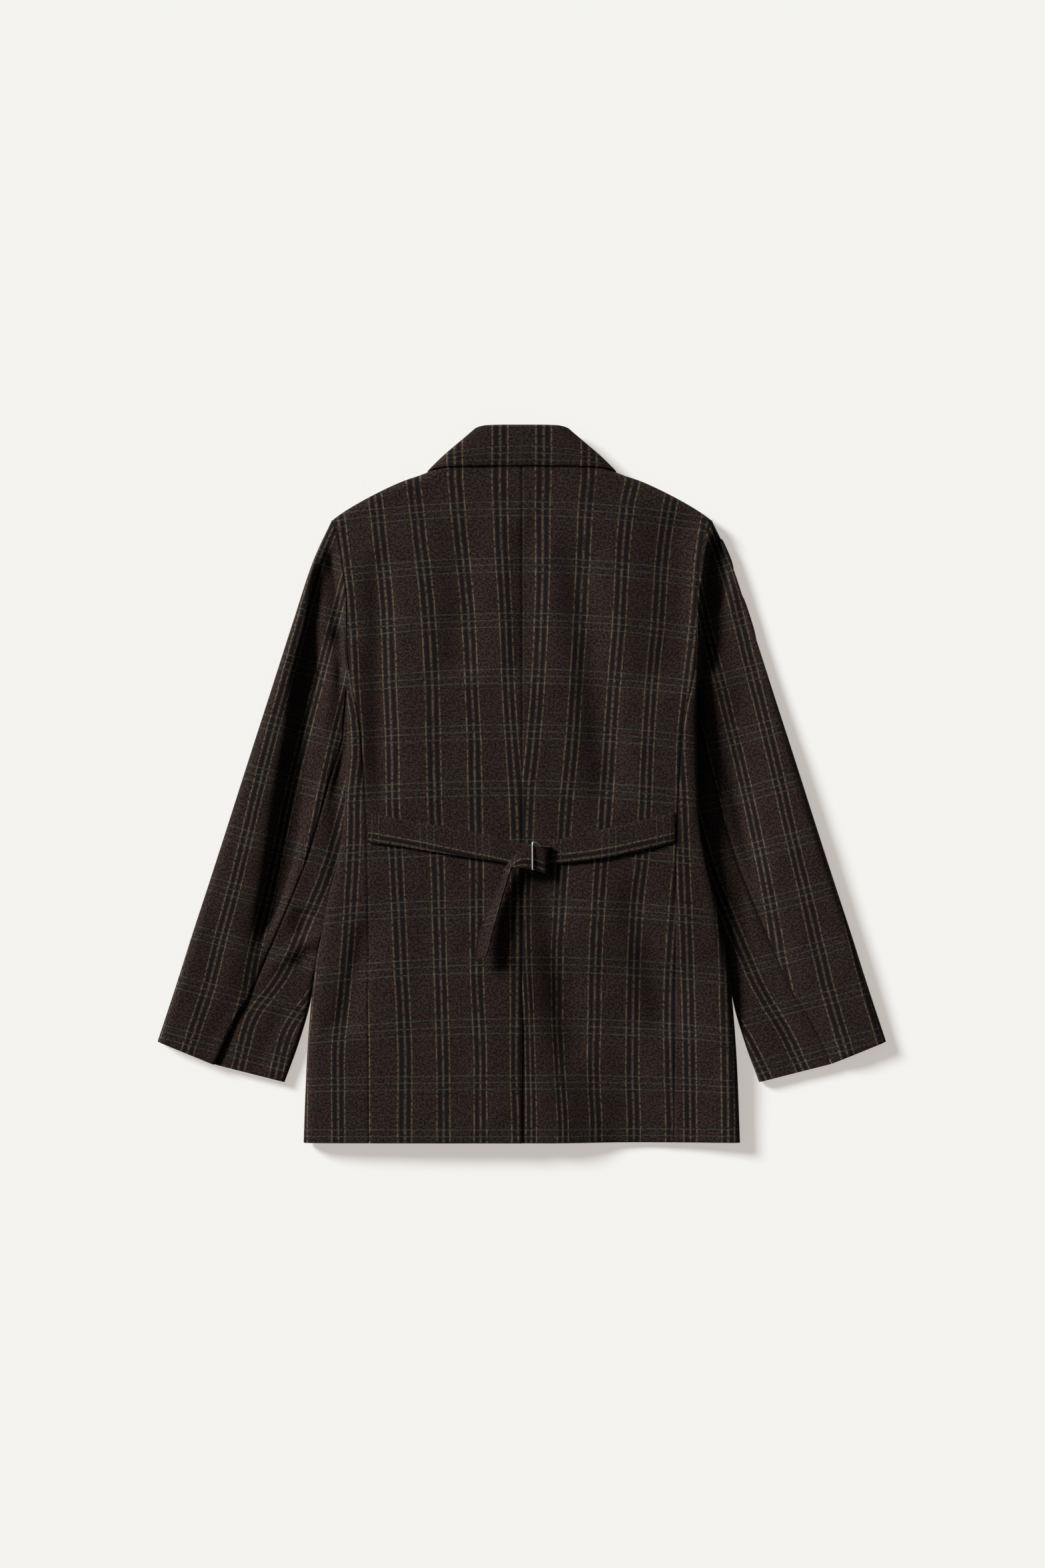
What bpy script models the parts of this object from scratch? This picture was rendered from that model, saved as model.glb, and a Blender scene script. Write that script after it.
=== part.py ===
"""A wool blazer laid flat on its front, back upwards, with a half belt and ring at the waist.

X runs across the garment, Y from hem to collar and Z up from the surface it lies on.
Sizes below are millimetres; MM turns them into metres when the meshes are written.
Each cloth piece is a grid of points on its outer face, with the inner face one wall behind it.
"""

from typing import Callable, NamedTuple

import bmesh
import bpy
import numpy as np

MM = 0.001

# Cloth and seams
WALL = 1.8
COLLAR_WALL = 2.2
BELT_THICKNESS = 2.4
SEAM_GAP = 0.3
HALF_GAP = SEAM_GAP / 2

# Whole garment
HEM_Y = -395.5
UNDERARM_Y = 126.0
SHOULDER_X = 208.5
SHOULDER_Y = 291.0
SHOULDER_SEAM_HEIGHT = 12.0
SHOULDER_ROLL = 10.0
NECK_ROLL_START = 62.0
NECK_ROLL_END = 84.0

# Folded side edge of the body
EDGE_REACH = 14.0
LOWER_EDGE_REACH = 10.0
TUCK_RUN = 12.0
TUCK_DROP = 0.1
SIDE_FALL = 5.0
SIDE_FALL_POWER = 3
SIDE_SAMPLES = 60

# Centre back vent, left over right
VENT_TOP = -198.0
VENT_SLANT = 12.0
VENT_STEP_TOP = -160.0
VENT_STEP_RUN = 28.0
VENT_UNDERLAP = 36.0
VENT_STEP = 3.0
VENT_BLEND = 32.0

# Front overlap, right over left, and the room for the lapels below the fronts
FRONT_LAP = 20.0
LAP_LIFT = 2.6
LAP_TOP_Y = 104.0
LAPEL_LIFT = 3.0
LIFT_MARGIN = 10.0
LIFT_RUN = 24.0
SHOULDER_LINE_POWER = 6

# Sleeves
SLEEVE_ROLL = 10.0
INNER_ROLL = 6.0
INNER_EDGE_HEIGHT = 5.0
CROWN_AT = 0.45
ARMHOLE_BLEND = 0.14
FOLD_CLEAR_OF_SEAM = 0.2
FRONT_PITCH = 0.2
SEAM_FALL_POWER = 3

# Sleeve against the armhole: steps at the two ends, and how soon the armhole's bow fades
UNDERARM_STEP = 3.8
UNDERARM_SINK = 2.28
UNDERARM_POWER = 8
SHOULDER_TIP_GAP = 0.6
SHOULDER_TIP_POWER = 6
ARMHOLE_BOW_POWER = 5

# Collar fold
FOLD_RADIUS = 4.2

# D-ring
RING_WIRE = 1.0
RING_BAR_X = 12.5
RING_CENTRE_Y = -79.4
RING_HALF_BAR = 15.7
RING_BOW = 13.0
RING_LIFT = 12.8
RING_SLOPE = 0.66
RING_BOW_POINTS = 16
RING_BAR_POINTS = 4
RING_BEVEL_STEPS = 2

# Folds fade in and out over this share of their length, starting half way at their ends
FOLD_FADE = 0.25
FOLD_END = 0.5

# Looks of the bare solids
SHARP_ANGLE = 40.0
WOOL_COLOUR = (0.024, 0.016, 0.014, 1.0)
WOOL_ROUGHNESS = 0.9
METAL_COLOUR = (0.72, 0.72, 0.72, 1.0)
METAL_ROUGHNESS = 0.25


class TorsoRow(NamedTuple):
    """One cross-section of the body below the armholes and of the back above them."""

    y: float
    edge: float          # half width at the folded side edge
    top: float           # height of the back at the centre
    edge_height: float   # height of the outermost line of the folded edge
    tuck: float          # how far the side runs back under the body
    ceiling: float       # height of that tucked stretch
    back_seam: float     # x of the side-back seam, and of the armhole above it
    front_seam: float    # x of the side-front seam below


TORSO = [
    TorsoRow(-395.5, 240.7, 24.0, 12.0, 12.0, 1.8, 168.0, 150.0),
    TorsoRow(-311.0, 237.4, 26.0, 12.5, 12.0, 2.2, 168.5, 146.0),
    TorsoRow(-238.0, 232.0, 28.5, 14.5, 13.0, 4.5, 169.0, 142.0),
    TorsoRow(-198.0, 227.0, 30.0, 17.0, 15.0, 8.0, 169.0, 138.0),
    TorsoRow(-158.0, 219.0, 31.0, 20.0, 18.0, 11.0, 169.0, 134.0),
    TorsoRow(-120.0, 211.7, 32.0, 22.5, 20.0, 12.5, 169.5, 130.0),
    TorsoRow(-87.0, 203.0, 33.0, 24.5, 22.0, 13.5, 170.0, 127.0),
    TorsoRow(-44.0, 196.0, 34.5, 26.0, 27.0, 14.0, 171.0, 124.0),
    TorsoRow(-10.0, 194.0, 36.0, 27.0, 33.0, 14.5, 172.5, 121.0),
    TorsoRow(63.0, 192.2, 37.0, 27.5, 46.0, 15.0, 177.5, 114.0),
    TorsoRow(126.0, 192.6, 36.0, 27.5, 60.0, 15.0, 190.0, 108.0),
    TorsoRow(160.0, 195.2, 34.0, 26.5, 60.0, 15.0, 192.4, 108.0),
    TorsoRow(203.0, 195.6, 31.0, 24.0, 60.0, 15.0, 192.8, 108.0),
    TorsoRow(240.0, 200.0, 28.5, 21.0, 60.0, 15.0, 197.0, 108.0),
    TorsoRow(274.0, 206.0, 25.5, 18.5, 60.0, 15.0, 202.8, 108.0),
    TorsoRow(291.0, 212.0, 23.5, 17.5, 60.0, 15.0, 208.5, 108.0),
    TorsoRow(366.0, 212.0, 20.0, 16.0, 60.0, 15.0, 208.5, 108.0),
]


class NeckPoint(NamedTuple):
    """A point of the back's top line, from the centre of the neck out to the shoulder point."""

    x: float
    y: float


NECK_AND_SHOULDER = [
    NeckPoint(0.0, 365.2),
    NeckPoint(40.0, 365.3),
    NeckPoint(70.0, 365.0),
    NeckPoint(82.0, 357.0),
    NeckPoint(104.5, 343.4),
    NeckPoint(132.0, 333.5),
    NeckPoint(162.0, 319.5),
    NeckPoint(189.0, 304.5),
    NeckPoint(202.0, 296.0),
    NeckPoint(SHOULDER_X, SHOULDER_Y),
]


class FrontRow(NamedTuple):
    """Front edge and lapel along the garment, for the right front."""

    y: float
    front_edge: float    # x of the front's own edge
    roll_line: float     # x of the fold of the lapel
    lapel_edge: float    # x of the lapel's outer edge, and of the collar leaf above it


FRONT = [
    FrontRow(-395.5, -FRONT_LAP, -FRONT_LAP, -60.0),
    FrontRow(40.0, -FRONT_LAP, -FRONT_LAP, -60.0),
    FrontRow(72.0, -12.0, -12.0, -40.0),
    FrontRow(104.0, 2.0, 1.6, 7.0),
    FrontRow(150.0, 11.5, 10.2, 42.0),
    FrontRow(200.0, 22.0, 19.5, 66.0),
    FrontRow(250.0, 33.0, 29.0, 84.0),
    FrontRow(292.0, 44.0, 37.0, 95.0),
    FrontRow(320.0, 53.0, 42.0, 102.0),
    FrontRow(345.0, 64.0, 46.0, 106.0),
    FrontRow(366.0, 78.0, 50.0, 106.0),
]
LAPEL_BOTTOM_Y = 105.0
LAPEL_GORGE_Y = 318.0
LAPEL_GORGE_DROP = 26.0


class ArmholePoint(NamedTuple):
    """A point of the front's armhole, by how far up the armhole it lies."""

    rise: float
    x: float
    y: float


FRONT_ARMHOLE = [
    ArmholePoint(0.00, 108.0, 126.0),
    ArmholePoint(0.14, 150.0, 141.0),
    ArmholePoint(0.30, 164.0, 170.0),
    ArmholePoint(0.50, 173.0, 207.0),
    ArmholePoint(0.75, 189.0, 254.0),
    ArmholePoint(0.90, 201.5, 280.0),
    ArmholePoint(1.00, SHOULDER_X, SHOULDER_Y),
]


class SleeveRow(NamedTuple):
    """One row of a sleeve, from armhole to cuff, for the right sleeve."""

    station: float
    outer_x: float
    outer_y: float
    seam_x: float        # back seam, on the upper side
    seam_y: float
    front_x: float       # front seam, on the lower side
    front_y: float
    inner_x: float
    inner_y: float
    seam_height: float
    crown: float
    edge_height: float


SLEEVE = [
    SleeveRow(0.00, 209.4, 291.0, 194.1, 126.2, 158.4, 151.0, 140.0, 120.0, 23.5, 25.0, 12.0),
    SleeveRow(0.08, 229.7, 247.0, 194.8, 112.0, 168.0, 128.0, 144.0, 106.0, 16.0, 23.5, 12.0),
    SleeveRow(0.18, 252.0, 180.0, 195.6, 90.0, 176.0, 100.0, 150.0, 84.0, 11.5, 22.5, 11.2),
    SleeveRow(0.30, 279.0, 96.0, 197.6, 55.0, 188.0, 60.0, 161.0, 44.0, 10.0, 21.0, 10.5),
    SleeveRow(0.42, 305.5, 14.0, 213.0, 0.0, 204.0, 3.0, 177.0, -11.0, 10.0, 20.0, 10.0),
    SleeveRow(0.50, 324.0, -44.0, 236.0, -80.0, 226.0, -85.0, 199.0, -97.0, 10.5, 19.5, 9.8),
    SleeveRow(0.60, 346.5, -113.6, 261.0, -143.0, 244.0, -147.0, 215.0, -158.0, 10.8, 19.0, 9.5),
    SleeveRow(0.70, 365.0, -170.0, 281.0, -190.0, 256.0, -197.0, 227.0, -208.0, 11.0, 18.5, 9.2),
    SleeveRow(0.80, 379.5, -216.0, 298.0, -228.0, 262.0, -236.0, 234.5, -246.0, 11.0, 18.0, 9.0),
    SleeveRow(0.90, 391.0, -251.0, 319.0, -262.0, 275.0, -277.0, 247.0, -288.0, 11.0, 17.0, 8.5),
    SleeveRow(1.00, 402.0, -284.0, 341.8, -308.7, 291.0, -320.0, 262.0, -329.0, 10.5, 15.5, 8.0),
]
UNDER_SLEEVE_FIRST_ROW = 3


class CollarRow(NamedTuple):
    """One section of the collar, from the centre back round the neck to the end of the leaf below."""

    leaf_x: float
    leaf_y: float
    leaf_height: float
    fold_x: float
    fold_y: float
    fold_height: float
    turn: float          # way the outer face looks: 90 up, 0 sideways, -90 down
    stand: float         # length of the stand inside the fold


COLLAR = [
    CollarRow(0.0, 351.0, 25.2, 0.0, 395.4, 26.0, 90.0, 25.6),
    CollarRow(35.0, 350.8, 25.2, 20.0, 395.4, 26.0, 90.0, 25.0),
    CollarRow(68.0, 350.3, 25.0, 38.0, 395.0, 25.6, 90.0, 23.0),
    CollarRow(92.0, 350.0, 23.0, 46.5, 394.5, 23.5, 65.0, 20.0),
    CollarRow(101.5, 349.5, 18.5, 49.0, 393.8, 18.5, 35.0, 18.0),
    CollarRow(104.5, 348.8, 12.0, 49.8, 392.8, 12.0, 0.0, 18.0),
    CollarRow(103.8, 346.6, 5.6, 49.2, 391.2, 5.6, -42.0, 17.0),
    CollarRow(102.8, 344.2, 1.2, 48.6, 388.8, 1.2, -74.0, 17.0),
    CollarRow(99.5, 336.0, 0.0, 46.5, 381.0, 0.0, -90.0, 16.0),
    CollarRow(98.0, 315.0, 0.0, 44.5, 352.0, 0.0, -90.0, 15.0),
    CollarRow(96.0, 296.0, 0.0, 42.0, 322.0, 0.0, -90.0, 14.0),
]


class BeltRow(NamedTuple):
    """One section across a half belt: its two long edges, each with a height over the back."""

    near_x: float        # upper edge, which becomes the left edge of the hanging strap
    near_y: float
    near_lift: float
    far_x: float         # lower edge, which becomes the raised right edge
    far_y: float
    far_lift: float


BELT_LEFT = [
    BeltRow(-168.3, -31.6, 1.6, -169.0, -63.9, 1.6),
    BeltRow(-132.3, -38.2, 1.6, -130.0, -69.1, 1.6),
    BeltRow(-91.9, -45.6, 1.6, -91.9, -75.0, 1.6),
    BeltRow(-54.4, -52.2, 1.6, -54.4, -80.9, 1.6),
    BeltRow(-26.5, -58.1, 1.6, -25.5, -85.3, 1.6),
    BeltRow(-8.1, -62.5, 1.6, -8.5, -88.5, 1.6),
    BeltRow(8.0, -66.0, 1.6, 8.0, -91.0, 1.6),
    BeltRow(18.0, -67.0, 1.6, 18.0, -91.4, 1.6),
    BeltRow(24.5, -67.2, 1.6, 24.5, -91.6, 1.6),
    BeltRow(27.6, -67.3, 2.9, 27.6, -91.7, 2.9),
    BeltRow(28.9, -67.3, 5.9, 28.9, -91.7, 5.9),
    BeltRow(27.6, -67.4, 8.9, 27.6, -91.8, 8.9),
    BeltRow(24.5, -67.4, 10.2, 24.5, -91.8, 10.2),
    BeltRow(12.5, -67.6, 10.2, 12.5, -92.0, 10.2),
    BeltRow(3.0, -69.0, 9.6, 2.0, -92.0, 11.5),
    BeltRow(-4.0, -74.0, 6.4, -6.5, -91.0, 15.5),
    BeltRow(-16.0, -96.0, 3.2, -10.5, -98.0, 17.5),
    BeltRow(-27.0, -121.0, 1.8, -17.5, -113.0, 18.0),
    BeltRow(-42.6, -152.0, 1.5, -28.0, -150.0, 17.5),
    BeltRow(-50.7, -175.0, 1.5, -36.0, -176.0, 17.0),
    BeltRow(-53.5, -189.0, 1.5, -40.4, -193.0, 16.5),
]

BELT_RIGHT = [
    BeltRow(31.0, -62.4, 1.6, 31.0, -87.4, 1.6),
    BeltRow(40.0, -61.0, 1.6, 40.0, -86.7, 1.6),
    BeltRow(62.5, -55.1, 1.6, 62.5, -84.5, 1.6),
    BeltRow(90.4, -49.2, 1.6, 90.4, -80.9, 1.6),
    BeltRow(125.7, -40.8, 1.6, 125.7, -73.5, 1.6),
    BeltRow(161.0, -32.3, 1.6, 164.0, -64.7, 1.6),
    BeltRow(168.3, -30.6, 1.6, 168.8, -63.6, 1.6),
]


class Fold(NamedTuple):
    """A soft trough or ridge along a straight line in plan."""

    start_x: float
    start_y: float
    end_x: float
    end_y: float
    height: float        # negative for a trough
    width: float


BACK_FOLDS = [
    Fold(-164.0, 150.0, -160.0, 0.0, -4.0, 14.0),
    Fold(-186.0, 150.0, -184.0, 0.0, 1.6, 10.0),
    Fold(56.0, 166.0, 93.0, -3.0, -3.4, 18.0),
    Fold(26.0, -142.0, 57.0, -326.0, -5.6, 20.0),
    Fold(112.0, -106.0, 174.0, -312.0, -3.6, 17.0),
    Fold(-178.0, -143.0, -197.0, -245.0, -2.8, 14.0),
]

SLEEVE_FOLDS_LEFT = [
    Fold(-219.0, 240.0, -285.0, -165.0, -6.5, 12.0),
    Fold(-262.0, 60.0, -322.0, -170.0, 2.0, 16.0),
]

SLEEVE_FOLDS_RIGHT = [
    Fold(214.0, 262.0, 222.0, 150.0, -4.5, 9.0),
    Fold(210.0, 150.0, 230.0, -20.0, -5.5, 15.0),
]

# Rows and columns of the grids, dense where the cloth turns
HEM_TO_UNDERARM_ROWS = 18
ARMHOLE_FLAT_ROWS = 7
SHOULDER_ROLL_ROWS = 3
BACK_COLUMNS = 8
SIDE_COLUMNS = [-1.0, -0.55, -0.25, -0.1, 0.0, 0.07, 0.15, 0.28, 0.45, 0.58, 0.7, 0.85, 1.0]
FRONT_COLUMNS = [0.0, 0.13, 0.27, 0.42, 0.6, 0.8, 1.0]
SLEEVE_ROWS = 20
SLEEVE_LOWER_COLUMNS = 4
INNER_FLAT_COLUMNS = 2
INNER_ROLL_COLUMNS = 3
LAPEL_ROWS = 8
LAPEL_COLUMNS = 3
COLLAR_HALF_ROWS = 14
COLLAR_FALL_COLUMNS = 3
COLLAR_FOLD_COLUMNS = 4
COLLAR_STAND_COLUMNS = 1
BELT_ROWS_PER_SECTION = 2
BELT_COLUMNS = 2

# Step for slopes of a surface, as a share of its grid
SLOPE_STEP = 1e-4

Surface = Callable[[float, np.ndarray], np.ndarray]


def smooth_curve(keys, values) -> Callable:
    """Return a function that runs smoothly through the values and never overshoots them."""
    keys = np.asarray(keys, dtype=float)
    values = np.asarray(values, dtype=float)
    single = values.ndim == 1
    if single:
        values = values[:, None]
    step = np.diff(keys)[:, None]
    slope = np.diff(values, axis=0) / step
    tangent = np.zeros_like(values)
    tangent[0] = slope[0]
    tangent[-1] = slope[-1]
    before = 2 * step[1:] + step[:-1]
    after = step[1:] + 2 * step[:-1]
    same_way = slope[:-1] * slope[1:] > 0
    safe = np.where(same_way, slope[:-1] * slope[1:], 1.0)
    mean = (before + after) * safe / (before * slope[1:] + after * slope[:-1] + (~same_way))
    tangent[1:-1] = np.where(same_way, mean, 0.0)

    def evaluate(at):
        at = np.asarray(at, dtype=float)
        index = np.clip(np.searchsorted(keys, at) - 1, 0, len(keys) - 2)
        width = step[index, 0][..., None]
        part = np.clip((at - keys[index])[..., None] / width, 0.0, 1.0)
        result = (
            (1 + 2 * part) * (1 - part) ** 2 * values[index]
            + part * (1 - part) ** 2 * width * tangent[index]
            + part**2 * (3 - 2 * part) * values[index + 1]
            + part**2 * (part - 1) * width * tangent[index + 1]
        )
        return result[..., 0] if single else result

    return evaluate


def table_curve(table, key: str, *names: str) -> Callable:
    """Return a smooth function of one column of a table, giving one or more others."""
    keys = [getattr(row, key) for row in table]
    if len(names) == 1:
        return smooth_curve(keys, [getattr(row, names[0]) for row in table])
    return smooth_curve(keys, [[getattr(row, name) for name in names] for row in table])


def ease(value):
    """Return a soft step from 0 to 1."""
    value = np.clip(value, 0.0, 1.0)
    return value * value * (3 - 2 * value)


def mix(start, end, share):
    """Return the point that lies a share of the way from start to end."""
    return start + (end - start) * share


def fold_height(folds, x, y):
    """Return the summed height of the folds over plan points."""
    total = np.zeros(np.broadcast(x, y).shape)
    for fold in folds:
        run_x = fold.end_x - fold.start_x
        run_y = fold.end_y - fold.start_y
        length = np.hypot(run_x, run_y)
        along = ((x - fold.start_x) * run_x + (y - fold.start_y) * run_y) / length**2
        aside = ((x - fold.start_x) * run_y - (y - fold.start_y) * run_x) / length
        fade = ease(along / FOLD_FADE + FOLD_END) * ease((1 - along) / FOLD_FADE + FOLD_END)
        total = total + fold.height * fade * np.exp(-((aside / fold.width) ** 2))
    return total


edge_at = table_curve(TORSO, "y", "edge")
top_at = table_curve(TORSO, "y", "top")
edge_height_at = table_curve(TORSO, "y", "edge_height")
back_seam_at = table_curve(TORSO, "y", "back_seam")
front_seam_at = table_curve(TORSO, "y", "front_seam")
tuck_at = table_curve(TORSO, "y", "tuck")
ceiling_at = table_curve(TORSO, "y", "ceiling")
top_line_at = table_curve(NECK_AND_SHOULDER, "x", "y")
front_edge_at = table_curve(FRONT, "y", "front_edge")
roll_line_at = table_curve(FRONT, "y", "roll_line")
lapel_edge_at = table_curve(FRONT, "y", "lapel_edge")
front_armhole_at = table_curve(FRONT_ARMHOLE, "rise", "x", "y")
sleeve_outer_at = table_curve(SLEEVE, "station", "outer_x", "outer_y")
sleeve_seam_at = table_curve(SLEEVE, "station", "seam_x", "seam_y")
sleeve_front_at = table_curve(SLEEVE, "station", "front_x", "front_y")
sleeve_inner_at = table_curve(SLEEVE, "station", "inner_x", "inner_y")
seam_height_at = table_curve(SLEEVE, "station", "seam_height")
crown_at = table_curve(SLEEVE, "station", "crown")
outer_height_at = table_curve(SLEEVE, "station", "edge_height")


def back_height(x, y):
    """Return the height of the back's outer face, as far out as the folded side edge."""
    edge = edge_at(y)
    lip = edge_height_at(y)
    flat = edge - EDGE_REACH
    reach = np.abs(x)
    crown = top_at(y) - SIDE_FALL * (np.minimum(reach, flat) / edge) ** SIDE_FALL_POWER
    roll = np.clip((reach - flat) / EDGE_REACH, 0.0, 1.0)
    return lip + (crown - lip + fold_height(BACK_FOLDS, x, y)) * np.sqrt(1 - roll**2)


def shoulder_roll(rise):
    """Split a share of the way up the armhole into its flat share and its turn over the shoulder."""
    flat_share = ARMHOLE_FLAT_ROWS / (ARMHOLE_FLAT_ROWS + SHOULDER_ROLL_ROWS)
    flat = np.minimum(rise / flat_share, 1.0)
    turn = np.clip((rise - flat_share) / (1 - flat_share), 0.0, 1.0) * np.pi / 2
    return flat, turn


def rolled(flat, turn, length, roll):
    """Return the share of a length reached by a flat stretch that ends in a quarter turn."""
    share = roll / length
    return flat * (1 - share) + share * np.sin(turn)


def back_upper(side: int, rise: float, across):
    """Return points of the back between the underarm and the neck and shoulder line."""
    top_line = top_line_at(across * SHOULDER_X)
    flat, turn = shoulder_roll(rise)
    share = rolled(flat, turn, top_line - UNDERARM_Y, SHOULDER_ROLL)
    edge_share = rolled(flat, turn, SHOULDER_Y - UNDERARM_Y, SHOULDER_ROLL)
    y = mix(UNDERARM_Y, top_line, share)
    x = across * back_seam_at(mix(UNDERARM_Y, SHOULDER_Y, edge_share))
    height = back_height(side * x, y)
    at_shoulder = ease((x - NECK_ROLL_START) / (NECK_ROLL_END - NECK_ROLL_START))
    seam = SHOULDER_SEAM_HEIGHT + HALF_GAP
    height = height - at_shoulder * (height - seam) * (1 - np.cos(turn))
    return np.stack([side * x, y, height], axis=-1)


def back_surface(side: int) -> Surface:
    """Return the outer face of one back, hem to neck, centre back to side seam and armhole."""
    below = HEM_TO_UNDERARM_ROWS / (HEM_TO_UNDERARM_ROWS + ARMHOLE_FLAT_ROWS + SHOULDER_ROLL_ROWS)

    def surface(row: float, across: np.ndarray) -> np.ndarray:
        if row > below:
            rise = (row - below) / (1 - below)
            reach = back_seam_at(UNDERARM_Y)
            inset = mix(HALF_GAP, reach - HALF_GAP, across) / reach
            return back_upper(side, rise, inset)
        y = mix(HEM_Y, UNDERARM_Y, row / below)
        in_vent = ease((VENT_TOP - y) / VENT_SLANT)
        centre = HALF_GAP - in_vent * (VENT_UNDERLAP if side > 0 else 0.0)
        x = mix(centre, back_seam_at(y) - HALF_GAP, across)
        height = back_height(side * x, np.full_like(x, y))
        if side > 0:
            step = VENT_STEP * ease((VENT_STEP_TOP - y) / VENT_STEP_RUN)
            height = height - step * ease((VENT_BLEND - x) / VENT_BLEND)
        return np.stack([side * x, np.full_like(x, y), height], axis=-1)

    return surface


def side_path(side: int, y: float):
    """Return the side's cross-section from back seam to front seam and the arc length at its edge."""
    edge, tuck = edge_at(y), tuck_at(y)
    lip, ceiling = edge_height_at(y), ceiling_at(y)
    share = np.linspace(0.0, 1.0, SIDE_SAMPLES)
    over_x = mix(back_seam_at(y), edge, np.sin(share * np.pi / 2))
    over_z = back_height(side * over_x, np.full_like(over_x, y))
    under_x = edge - LOWER_EDGE_REACH * (1 - np.cos(share * np.pi / 2))
    under_z = lip - (lip - ceiling) * np.sin(share * np.pi / 2)
    tuck_x = mix(edge - LOWER_EDGE_REACH, edge - tuck, share)
    tuck_z = ceiling * (1 - TUCK_DROP * share)
    down_x = mix(edge - tuck, edge - tuck - TUCK_RUN, share)
    down_z = ceiling * (1 - TUCK_DROP) * (1 + np.cos(share * np.pi)) / 2
    floor_x = mix(edge - tuck - TUCK_RUN, front_seam_at(y), share)
    x = np.concatenate([over_x, under_x[1:], tuck_x[1:], down_x[1:], floor_x[1:]])
    z = np.concatenate([over_z, under_z[1:], tuck_z[1:], down_z[1:], np.zeros(len(share) - 1)])
    length = np.concatenate([[0.0], np.cumsum(np.hypot(np.diff(x), np.diff(z)))])
    return x, z, length, length[len(share) - 1]


def side_surface(side: int) -> Surface:
    """Return the outer face of a side panel: over the folded edge, back under the body, to the front."""

    def surface(row: float, across: np.ndarray) -> np.ndarray:
        y = mix(HEM_Y, UNDERARM_Y - HALF_GAP, row)
        x, z, length, at_edge = side_path(side, y)
        before = mix(at_edge, HALF_GAP, -across)
        beyond = mix(at_edge, length[-1] - HALF_GAP, across)
        reach = np.where(across < 0, before, beyond)
        plan = np.interp(reach, length, x)
        return np.stack([side * plan, np.full_like(plan, y), np.interp(reach, length, z)], axis=-1)

    return surface


def under_height(side: int, x, y):
    """Return the height of a front's outer, lower face over the surface it rests on."""
    over_lapel = ease((lapel_edge_at(y) + LIFT_MARGIN + LIFT_RUN - x) / LIFT_RUN)
    over_lapel = over_lapel * ease((y - LAPEL_BOTTOM_Y + LIFT_MARGIN + LIFT_RUN) / LIFT_RUN)
    lift = LAPEL_LIFT * over_lapel
    if side < 0:
        over_front = ease((FRONT_LAP + LIFT_MARGIN + LIFT_RUN - x) / LIFT_RUN)
        over_front = over_front * ease((LAP_TOP_Y + LIFT_RUN - y) / LIFT_RUN)
        lift = lift + LAP_LIFT * over_front
    return lift


def front_surface(side: int) -> Surface:
    """Return the outer face of one front, hem to shoulder, front edge to side seam and armhole."""
    below = HEM_TO_UNDERARM_ROWS / (HEM_TO_UNDERARM_ROWS + ARMHOLE_FLAT_ROWS + SHOULDER_ROLL_ROWS)
    neck_y = top_line_at(FRONT[-1].front_edge)

    def surface(row: float, across: np.ndarray) -> np.ndarray:
        if row <= below:
            y = np.full_like(across, mix(HEM_Y, UNDERARM_Y, row / below))
            x = mix(front_edge_at(y), front_seam_at(y) - HALF_GAP, across)
            return np.stack([side * x, y, under_height(side, x, y)], axis=-1)
        rise = (row - below) / (1 - below)
        flat, turn = shoulder_roll(rise)
        share = rolled(flat, turn, SHOULDER_Y - UNDERARM_Y, SHOULDER_ROLL)
        edge_y = mix(UNDERARM_Y, neck_y, share)
        armhole = front_armhole_at(share)
        x = mix(front_edge_at(edge_y), armhole[..., 0] - HALF_GAP, across)
        straight = mix(edge_y, armhole[..., 1], across)
        y = mix(straight, top_line_at(x), share**SHOULDER_LINE_POWER)
        height = under_height(side, x, y)
        height = height + (SHOULDER_SEAM_HEIGHT - HALF_GAP - height) * (1 - np.cos(turn))
        return np.stack([side * x, y, height], axis=-1)

    return surface


def armhole_offset(side: int, rise: float):
    """Return the sleeve's first row: the back's armhole edge, moved out by the seam and underarm step."""
    edge = back_upper(side, rise, np.array([1.0]))[0]
    at_underarm = (1 - rise) ** UNDERARM_POWER
    step = SEAM_GAP + UNDERARM_STEP * at_underarm + SHOULDER_TIP_GAP * rise**SHOULDER_TIP_POWER
    return edge + np.array([side * step, 0.0, -UNDERARM_SINK * at_underarm])


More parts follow.
